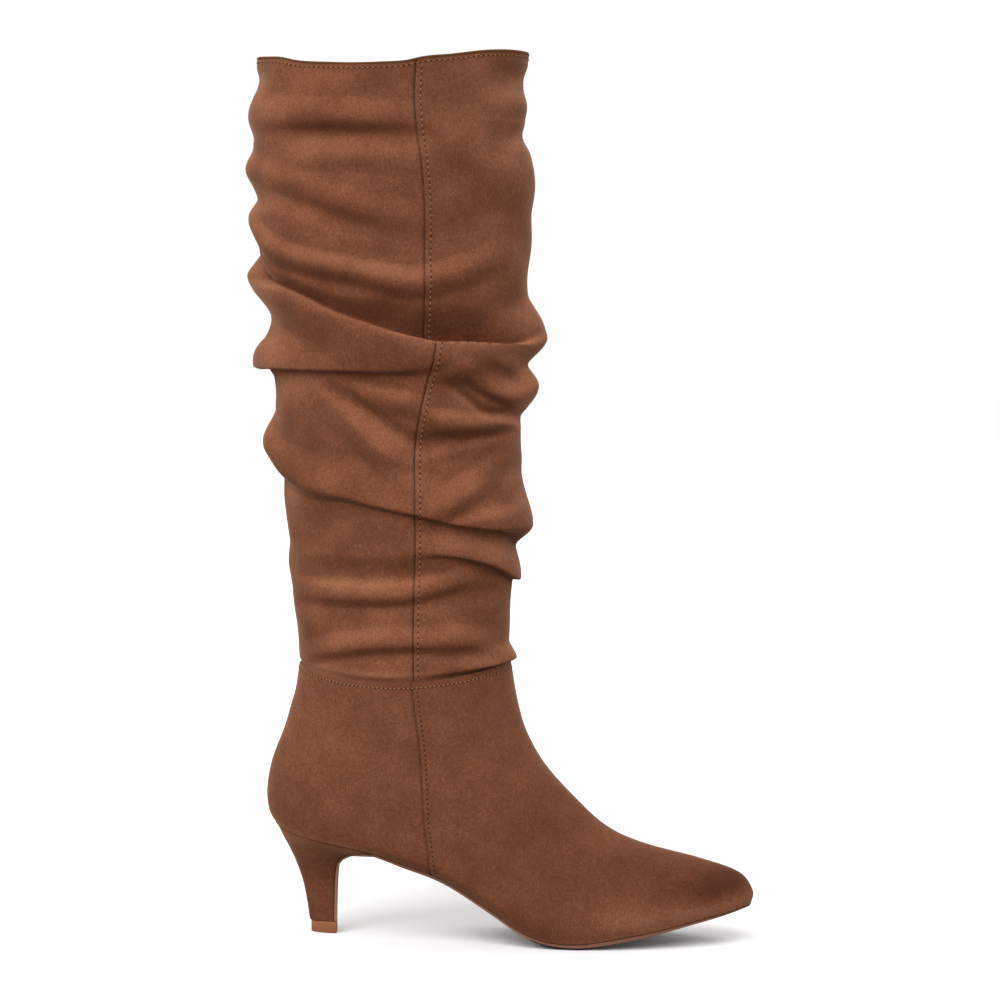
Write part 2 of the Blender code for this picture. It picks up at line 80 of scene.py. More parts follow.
# Lines round the last, from the feather edge to the ankle, in millimetres from the heel's back and the floor
Ring = namedtuple("Ring", "back_x back_z front_x front_z sag half wide_at back_power front_power front_close nip")
RINGS = table(
    Ring,
    (4.5, 61.2, 262.2, 20.0, 1.00, 0.935, 0.62, 4.2, 1.95, 0.70, 12.5),
    (1.2, 67.0, 263.2, 27.3, 0.94, 1.000, 0.62, 4.0, 1.95, 0.68, 9.5),
    (0.0, 76.0, 256.0, 37.0, 0.85, 0.990, 0.61, 4.3, 2.00, 0.66, 7.0),
    (1.0, 86.0, 235.6, 44.2, 0.71, 0.955, 0.60, 4.5, 2.00, 0.64, 4.5),
    (3.2, 95.0, 204.6, 52.1, 0.55, 0.935, 0.57, 4.2, 2.00, 0.64, 2.5),
    (6.2, 103.0, 185.0, 61.0, 0.40, 0.930, 0.55, 3.8, 2.00, 0.60, 1.0),
    (9.2, 110.0, 168.0, 76.0, 0.30, 0.940, 0.53, 3.3, 2.00, 0.56, 0.0),
    (11.7, 117.5, 152.0, 93.5, 0.25, 0.955, 0.52, 2.9, 2.00, 0.53, 0.0),
    (14.0, 125.5, 142.0, 111.0, 0.23, 0.980, 0.51, 2.5, 2.00, 0.51, 0.0),
    (16.3, 133.4, 137.0, 128.0, 0.23, 1.005, 0.50, 2.2, 2.00, 0.50, 0.0),
    (18.4, 147.0, 133.4, 148.6, 0.24, 1.040, 0.50, 2.0, 2.00, 0.50, 0.0),
)
WAIST_AT, WAIST_LENGTH = 0.36, 0.14
OUTER_NIP, INNER_NIP = 0.7, 1.3


def smooth(at, knots, values):
    """Values on a smooth curve through the knots: cubic Hermite pieces with the neighbours' slopes."""
    knots = np.asarray(knots, float)
    values = np.asarray(values, float)
    slopes = np.gradient(values, knots)
    at = np.clip(at, knots[0], knots[-1])
    left = np.clip(np.searchsorted(knots, at, side="right") - 1, 0, len(knots) - 2)
    step = knots[left + 1] - knots[left]
    t = (at - knots[left]) / step
    rise = t * t * (3 - 2 * t)
    bend = step * t * (1 - t) * ((1 - t) * slopes[left] - t * slopes[left + 1])
    return values[left] * (1 - rise) + values[left + 1] * rise + bend


def ease(value, start, end):
    """0 before start, 1 after end, and a soft S between them."""
    t = np.clip((np.asarray(value, float) - start) / (end - start), 0, 1)
    return t * t * (3 - 2 * t)


def read_table(rows, column, at, key=None):
    knots = np.linspace(0, 1, len(rows)) if key is None else [getattr(row, key) for row in rows]
    return smooth(at, knots, [getattr(row, column) for row in rows])


def sole_height(x):
    return HEEL_LIFT * read_table(SOLE_PROFILE, "lift", np.asarray(x) / LENGTH, "along")


def toe_swing(x):
    return TOE_SWING * np.clip((np.asarray(x) - LENGTH / 2) / (LENGTH / 2), 0, 1) ** 2


def ring_half_width(level, share, inner):
    wide_at = read_table(RINGS, "wide_at", level)
    behind = np.clip((wide_at - share) / wide_at, 0, 1)
    ahead = np.clip((share - wide_at) / (1 - wide_at), 0, 1)
    back_end = (1 - behind ** read_table(RINGS, "back_power", level)) ** 0.5
    front_close = read_table(RINGS, "front_close", level)
    front_end = (1 - ahead ** read_table(RINGS, "front_power", level)) ** front_close
    waist = np.exp(-(((share - WAIST_AT) / WAIST_LENGTH) ** 2)) * back_end
    nip = read_table(RINGS, "nip", level) * np.where(inner, INNER_NIP, OUTER_NIP)
    return read_table(RINGS, "half", level) * BALL_WIDTH / 2 * back_end * front_end - nip * waist


def feather_halves(x, inset):
    """Outer and inner half widths of the feather edge at x, taken in all round."""
    edge = RINGS[0]
    share = np.clip((x - edge.back_x) / (edge.front_x - edge.back_x), 0, 1)
    level = np.zeros_like(share)
    halves = [ring_half_width(level, share, np.full(share.shape, inner)) for inner in (False, True)]
    return [np.maximum(half - inset, LEAST_HALF) for half in halves]


def tread_share(x):
    """How much of the tread's dome the sole has at x: none at the waist, all at the ball, none at the toe."""
    rise = np.clip((x - WAIST_END_X) / (DOME_FULL_X - WAIST_END_X), 0, 1)
    return rise * (1 - ease(x, TOE_FLAT_FROM_X, TOE_FLAT_TO_X))


def dome(across):
    return TREAD_DOME * (1 - across**2)


def crowd(share, amount):
    """Draws the lines of a grid together towards its two ends."""
    return share - amount * np.sin(2 * math.pi * share) / (2 * math.pi)


def in_place(points):
    """Millimetres from the heel's back, made metres in the part's frame."""
    return points * MILLIMETRE + np.array([heel_back_x, 0, 0])


def spots_of(piece):
    """The places of a piece's vertices."""
    spots = np.empty(len(piece.data.vertices) * 3)
    piece.data.vertices.foreach_get("co", spots)
    return spots.reshape(-1, 3)


def lay_grid(name, columns, rows, surface):
    """A grid primitive laid on a surface of u and v, each from 0 to 1."""
    bpy.ops.object.select_all(action="DESELECT")
    bpy.ops.mesh.primitive_grid_add(x_subdivisions=columns, y_subdivisions=rows, size=1)
    piece = bpy.context.object
    piece.name = name
    piece.data.name = name
    corners = np.round(spots_of(piece) + 0.5, 6)
    points = in_place(surface(corners[:, 0], corners[:, 1]))
    piece.data.vertices.foreach_set("co", points.ravel())
    piece.data.update()
    return piece


def apply_modifier(piece, kind, **settings):
    modifier = piece.modifiers.new(kind.lower(), kind)
    for setting, value in settings.items():
        setattr(modifier, setting, value)
    bpy.context.view_layer.objects.active = piece
    bpy.ops.object.modifier_apply(modifier=modifier.name)


def give_wall(piece, thickness, offset=-1, even=True, rim=0):
    apply_modifier(
        piece,
        "SOLIDIFY",
        thickness=thickness * MILLIMETRE,
        offset=offset,
        use_even_offset=even,
        material_offset_rim=rim,
    )


def pick(piece):
    bpy.ops.object.select_all(action="DESELECT")
    piece.select_set(True)
    bpy.context.view_layer.objects.active = piece


def shade(piece, degrees=40):
    pick(piece)
    bpy.ops.object.shade_smooth_by_angle(angle=math.radians(degrees))


def edit_all(piece, *steps):
    """Runs edit-mode operators on the whole of a piece."""
    pick(piece)
    bpy.ops.object.mode_set(mode="EDIT")
    for operator, settings in steps:
        bpy.ops.mesh.select_all(action="SELECT")
        operator(**settings)
    bpy.ops.object.mode_set(mode="OBJECT")


def new_material(name, looks):
    """A material whose shader has these plain values."""
    material = bpy.data.materials.new(name)
    material.use_nodes = True
    for socket, value in looks.items():
        material.node_tree.nodes["Principled BSDF"].inputs[socket].default_value = value
    return material


def plain_material(name, colour, roughness, specular=0.3):
    return new_material(name, {"Base Color": (*colour, 1), "Roughness": roughness, "Specular IOR Level": specular})


def dress(piece, material, replaced):
    """Gives a finished piece its material, hangs it on the root empty and hides the part it stands for."""
    if not piece.data.materials:
        piece.data.materials.append(material)
    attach(piece, "root")
    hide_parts(replaced)


def sock_surface(u, v):
    heel_x = RINGS[0].back_x + SOCK_INSET
    toe_x = RINGS[0].front_x - SOCK_TOE_CUT
    x = heel_x + (toe_x - heel_x) * crowd(v, SOCK_CROWDING)
    outer, inner = feather_halves(x, SOCK_INSET)
    across = 1 - 2 * u
    y = toe_swing(x) + np.where(across < 0, outer, inner) * across
    return np.stack([x, y, sole_height(x) - dome(across) * tread_share(x) + SOCK_GAP], axis=1)


sock = lay_grid("sock", SOCK_COLUMNS, SOCK_ROWS, sock_surface)
give_wall(sock, SOCK_THICK, offset=1)
shade(sock)
dress(sock, plain_material("sock_textile", SOCK_BEIGE, roughness=0.85), "insole")

# Quarter and vamp
# The foot is two panels of faux suede over a stiffened last shape: the quarter round the heel, and the vamp over the
# instep and toe. The vamp laps the quarter at a seam on either side, and both are lasted under at the feather.
FOOT_WALL = 0.8
EVEN_HOLLOW = 33.0
SEAM_STEP, SEAM_UNDERLAP = 1.5, 4.0
SHOULDER_FROM, SHOULDER_TO = -0.4, 1.5
EDGE_ROLL, EDGE_ROLL_WIDTH = 0.4, 1.2
EDGE_CROWDING = 0.7
FOOT_ROWS, QUARTER_COLUMNS, VAMP_COLUMNS = 84, 110, 150
# The suede's dark and pale tones serve both its random nap and the painted light and shade: the pale end is the lit
# colour, the dark end the shaded one.
SUEDE_DARK_NAP_AND_SHADE = (0.075, 0.0225, 0.0095)
SUEDE_MID = (0.162, 0.055, 0.0255)
SUEDE_PALE_NAP_AND_LIT = (0.31, 0.122, 0.063)
CUT_EDGE_AND_SHADE_BROWN = (0.040, 0.014, 0.007)
SUEDE_LOOKS = {
    "Roughness": 0.95,
    "Specular IOR Level": 0.12,
    "Sheen Weight": 0.30,
    "Sheen Roughness": 0.35,
    "Sheen Tint": (1.0, 0.66, 0.46, 1),
}
NAP_STRETCH = (1, 1, 0.3)
PAINTED_LIGHT_WEIGHT = 0.25
DARKEST_NAP, MIDDLE_NAP, PALEST_NAP = 0.18, 0.5, 0.82
NAP_BUMP, NAP_DEPTH = 0.35, 0.0004
FootSeamRow = namedtuple("FootSeamRow", "level x")
FOOT_SEAM = table(
    FootSeamRow,
    (0.00, 94.6), (0.12, 94.4), (0.42, 92.4), (0.75, 90.6), (0.95, 87.4), (1.00, 86.4),
)

# Painted light and shade on the foot, patch by patch: paler where light falls brighter, as in the band just above the
# sole, darker where shade falls, as over the toe. Middle of the patch along and up the foot, its reach, how much
FootLightPatch = namedtuple("FootLightPatch", "x level reach_x reach_level shift")
FOOT_PAINTED_LIGHT = table(
    FootLightPatch,
    (48, 0.72, 34, 0.30, 0.20), (40, 0.18, 40, 0.14, -0.20), (44, 0.03, 50, 0.05, 0.70),
    (207, 0.08, 40, 0.105, 0.80), (244, 0.05, 22, 0.045, 0.80), (226, 0.30, 36, 0.11, -0.60),
    (249, 0.18, 27, 0.078, -1.45), (188, 0.36, 30, 0.14, -0.35), (156, 0.08, 20, 0.09, -0.45),
    (150, 0.36, 42, 0.24, -0.30), (160, 0.62, 24, 0.18, -0.40),
)


def sole_hollow(share, level):
    """How far the sole lies under the straight line from heel to toe, evened out towards the ankle."""
    edge = RINGS[0]
    straight = edge.back_z + (edge.front_z - edge.back_z) * share
    hollow = straight - sole_height(edge.back_x + (edge.front_x - edge.back_x) * share)
    return hollow * (1 - level) + EVEN_HOLLOW * 4 * share * (1 - share) * level


def foot_surface(u, v):
    """The foot's outside: u from the heel along the outer side to the toe and back, v from sole to ankle."""
    inner = (u % 1) > 0.5
    share = (1 - np.cos(2 * math.pi * u)) / 2
    back_x = read_table(RINGS, "back_x", v)
    back_z = read_table(RINGS, "back_z", v)
    x = back_x + (read_table(RINGS, "front_x", v) - back_x) * share
    y = ring_half_width(v, share, inner) * np.where(inner, 1, -1) + toe_swing(x)
    z = back_z + (read_table(RINGS, "front_z", v) - back_z) * share
    return np.stack([x, y, z - read_table(RINGS, "sag", v) * sole_hollow(share, v)], axis=1)


def normals_of(surface, u, v, step=1e-4):
    along = surface(u + step, v) - surface(u - step, v)
    up = surface(u, np.clip(v + step, 0, 1)) - surface(u, np.clip(v - step, 0, 1))
    across = np.cross(along, up)
    return across / np.maximum(np.linalg.norm(across, axis=1, keepdims=True), 1e-9)


def foot_normals(u, v):
    return normals_of(foot_surface, u, v)


def foot_turn_at(x, v):
    """Where along a ring, from the heel, the outer side passes x."""
    back_x = read_table(RINGS, "back_x", v)
    share = (x - back_x) / (read_table(RINGS, "front_x", v) - back_x)
    return np.arccos(1 - 2 * np.clip(share, 0, 1)) / (2 * math.pi)


def foot_seam_x(v):
    return read_table(FOOT_SEAM, "x", v, "level")


def quarter_surface(u, v):
    edge = foot_turn_at(foot_seam_x(v) + SEAM_UNDERLAP, v)
    turn = edge * (2 * crowd(u, EDGE_CROWDING) - 1)
    points = foot_surface(turn, v)
    inside = foot_seam_x(v) - points[:, 0]
    step_in = SEAM_STEP * (1 - ease(inside, SHOULDER_FROM, SHOULDER_TO))
    return points - foot_normals(turn, v) * step_in[:, None]


def vamp_surface(u, v):
    edge = foot_turn_at(foot_seam_x(v), v)
    turn = edge + (1 - 2 * edge) * crowd(u, EDGE_CROWDING)
    points = foot_surface(turn, v)
    roll = EDGE_ROLL * (1 - ease(points[:, 0] - foot_seam_x(v), 0, EDGE_ROLL_WIDTH))
    return points - foot_normals(turn, v) * roll[:, None]


def mark_painted_light(piece, painted_light):
    """Stores the painted light and shade that the suede puts into its colour at each point: above 0 paler, below 0
    darker.
    """
    piece.data.attributes.new("painted_light", "FLOAT", "POINT").data.foreach_set("value", painted_light)


# Paints the foot's patches of light and shade into its colour.
def paint_foot_light(piece, columns):
    x = (spots_of(piece)[:, 0] - heel_back_x) / MILLIMETRE
    level = np.repeat(np.linspace(0, 1, FOOT_ROWS + 1), columns + 1)
    painted_light = np.zeros_like(x)
    for patch in FOOT_PAINTED_LIGHT:
        away = ((x - patch.x) / patch.reach_x) ** 2 + ((level - patch.level) / patch.reach_level) ** 2
        painted_light += patch.shift * np.exp(-away)
    mark_painted_light(piece, painted_light)


def suede_nap_and_light_group():
    """Shared by all suede: streaks of the nap, brushed patches and fine specks, with painted light and shade put in
    from outside.
    """
    group = bpy.data.node_groups.new("suede_nap_and_light", "ShaderNodeTree")
    group.interface.new_socket("PaintedLight", in_out="INPUT", socket_type="NodeSocketFloat")
    group.interface.new_socket("NapAndLight", in_out="OUTPUT", socket_type="NodeSocketFloat")
    group.interface.new_socket("Height", in_out="OUTPUT", socket_type="NodeSocketFloat")
    nodes = group.nodes
    links = group.links
    entry = nodes.new("NodeGroupInput")
    leave = nodes.new("NodeGroupOutput")
    place = nodes.new("ShaderNodeTexCoord")
    stretch = nodes.new("ShaderNodeMapping")
    stretch.inputs["Scale"].default_value = NAP_STRETCH
    links.new(place.outputs["Object"], stretch.inputs["Vector"])

    def noise(vector, scale, detail, roughness):
        node = nodes.new("ShaderNodeTexNoise")
        node.inputs["Scale"].default_value = scale
        node.inputs["Detail"].default_value = detail
        node.inputs["Roughness"].default_value = roughness
        links.new(vector, node.inputs["Vector"])
        return node.outputs["Fac"]

    def weigh(value, weight, before):
        """before + weight * (value - 0.5)"""
        centred = nodes.new("ShaderNodeMath")
        centred.operation = "SUBTRACT"
        centred.inputs[1].default_value = 0.5
        links.new(value, centred.inputs[0])
        total = nodes.new("ShaderNodeMath")
        total.operation = "MULTIPLY_ADD"
        total.inputs[1].default_value = weight
        links.new(centred.outputs[0], total.inputs[0])
        if isinstance(before, float):
            total.inputs[2].default_value = before
        else:
            links.new(before, total.inputs[2])
        return total.outputs[0]

    streaks = noise(stretch.outputs["Vector"], scale=1100, detail=3, roughness=0.6)
    patches = noise(place.outputs["Object"], scale=62, detail=5, roughness=0.6)
    flecks = noise(place.outputs["Object"], scale=520, detail=2, roughness=0.6)
    specks = noise(place.outputs["Object"], scale=2000, detail=1, roughness=0.5)
    nap = weigh(streaks, weight=0.22, before=0.5)
    nap = weigh(patches, weight=0.34, before=nap)
    nap = weigh(flecks, weight=0.22, before=nap)
    nap = weigh(specks, weight=0.60, before=nap)
    # Mixes the painted light and shade into the nap's tone.
    painted_light = nodes.new("ShaderNodeMath")
    painted_light.operation = "MULTIPLY_ADD"
    painted_light.inputs[1].default_value = PAINTED_LIGHT_WEIGHT
    links.new(entry.outputs["PaintedLight"], painted_light.inputs[0])
    links.new(nap, painted_light.inputs[2])
    links.new(painted_light.outputs[0], leave.inputs["NapAndLight"])
    height = weigh(streaks, weight=0.6, before=0.5)
    links.new(weigh(specks, weight=0.5, before=height), leave.inputs["Height"])
    return group


suede_nap_and_light = suede_nap_and_light_group()


def suede_material(name, dark, mid, light):
    material = new_material(name, SUEDE_LOOKS)
    nodes = material.node_tree.nodes
    links = material.node_tree.links
    shader = nodes["Principled BSDF"]
    painted_light = nodes.new("ShaderNodeAttribute")
    painted_light.attribute_name = "painted_light"
    nap = nodes.new("ShaderNodeGroup")
    nap.node_tree = suede_nap_and_light
    ramp = nodes.new("ShaderNodeValToRGB")
    stops = ramp.color_ramp.elements
    stops[0].position, stops[0].color = DARKEST_NAP, (*dark, 1)
    stops[1].position, stops[1].color = PALEST_NAP, (*light, 1)
    middle = stops.new(MIDDLE_NAP)
    middle.color = (*mid, 1)
    bump = nodes.new("ShaderNodeBump")
    bump.inputs["Strength"].default_value = NAP_BUMP
    bump.inputs["Distance"].default_value = NAP_DEPTH
    links.new(painted_light.outputs["Fac"], nap.inputs["PaintedLight"])
    links.new(nap.outputs["NapAndLight"], ramp.inputs["Fac"])
    links.new(ramp.outputs["Color"], shader.inputs["Base Color"])
    links.new(nap.outputs["Height"], bump.inputs["Height"])
    links.new(bump.outputs["Normal"], shader.inputs["Normal"])
    return material


suede = suede_material("suede", SUEDE_DARK_NAP_AND_SHADE, SUEDE_MID, SUEDE_PALE_NAP_AND_LIT)
quarter = lay_grid("quarter", QUARTER_COLUMNS, FOOT_ROWS, quarter_surface)
paint_foot_light(quarter, QUARTER_COLUMNS)
give_wall(quarter, FOOT_WALL)
shade(quarter)
dress(quarter, suede, "upper")
vamp = lay_grid("vamp", VAMP_COLUMNS, FOOT_ROWS, vamp_surface)
paint_foot_light(vamp, VAMP_COLUMNS)
# The raw cut edges of the vamp and the front panel are dark brown, made dark enough to paint the shade line along the
# lapped seams.
cut_edge_and_shade = plain_material("cut_edge_and_shade", CUT_EDGE_AND_SHADE_BROWN, roughness=0.95, specular=0.0)
vamp.data.materials.append(suede)
vamp.data.materials.append(cut_edge_and_shade)
give_wall(vamp, FOOT_WALL, rim=1)
shade(vamp)
dress(vamp, suede, "upper")

# Shaft
# The loose shaft is a back panel and a front panel of the same soft faux suede, sewn together down both sides with
# the front panel on top. It hangs in folds round the ankle, and its foot is sewn inside the foot's top edge.
SHAFT_WALL = 0.9
TUCK, TUCK_RELEASE = 1.2, 3.2
LAP, RIM_CLEAR = 8.0, 0.3
SHAFT_MIDDLE_X, ABOUT_HALF_LENGTH, ABOUT_HALF_WIDTH = 70, 68, 47
SEAM_FOOT, SEAM_LENGTH = 132.5, 332
# The shaft's colour is painted paler where its faces turn up to the light and darker where they turn down.
PAINTED_LIGHT_LEAN, PAINTED_LIGHT_GAIN, PAINTED_SHADE_GAIN = 0.07, 1.2, 0.8
SHAFT_ROWS, BACK_COLUMNS, FRONT_COLUMNS = 336, 140, 110

ShaftRow = namedtuple("ShaftRow", "height back_x front_x half_width")
SHAFT_TUBE = table(
    ShaftRow,
    (130.0, 15.7, 136.5, 37.4), (146.0, 18.3, 133.4, 38.4), (180.0, 15.8, 133.4, 40.5), (232.0, 11.5, 137.0, 43.5),
    (286.0, 5.6, 139.8, 46.5), (340.0, -0.6, 142.5, 48.5), (394.0, -5.2, 144.0, 49.5), (447.0, -5.4, 140.6, 50.5),
    (474.0, -3.0, 143.4, 51.0),
)
CollarRow = namedtuple("CollarRow", "turn height")
COLLAR_EDGE = table(
    CollarRow,
    (0.0, 472.5), (43.0, 470.0), (58.0, 467.4), (70.5, 465.7), (76.0, 464.1), (87.0, 463.2), (98.0, 463.1),
    (110.0, 463.9), (127.0, 465.9), (136.0, 468.1), (150.0, 469.6), (180.0, 471.5), (225.0, 468.0), (268.0, 464.0),
    (315.0, 469.0), (360.0, 472.5),
)
SeamRow = namedtuple("SeamRow", "height turn")
OUTER_SEAM = table(
    SeamRow,
    (128.0, 79.0), (152.0, 78.0), (205.0, 76.0), (240.0, 76.0), (268.0, 75.0), (296.0, 69.5), (307.0, 66.6),
    (314.6, 65.5), (315.6, 65.4), (318.2, 70.3), (319.2, 70.4), (334.0, 70.3), (408.0, 70.0), (440.0, 71.5),
    (474.0, 72.5),
)
INNER_SEAM = table(
    SeamRow,
    (128.0, -79.0), (240.0, -75.0), (310.0, -71.0), (474.0, -72.0),
)

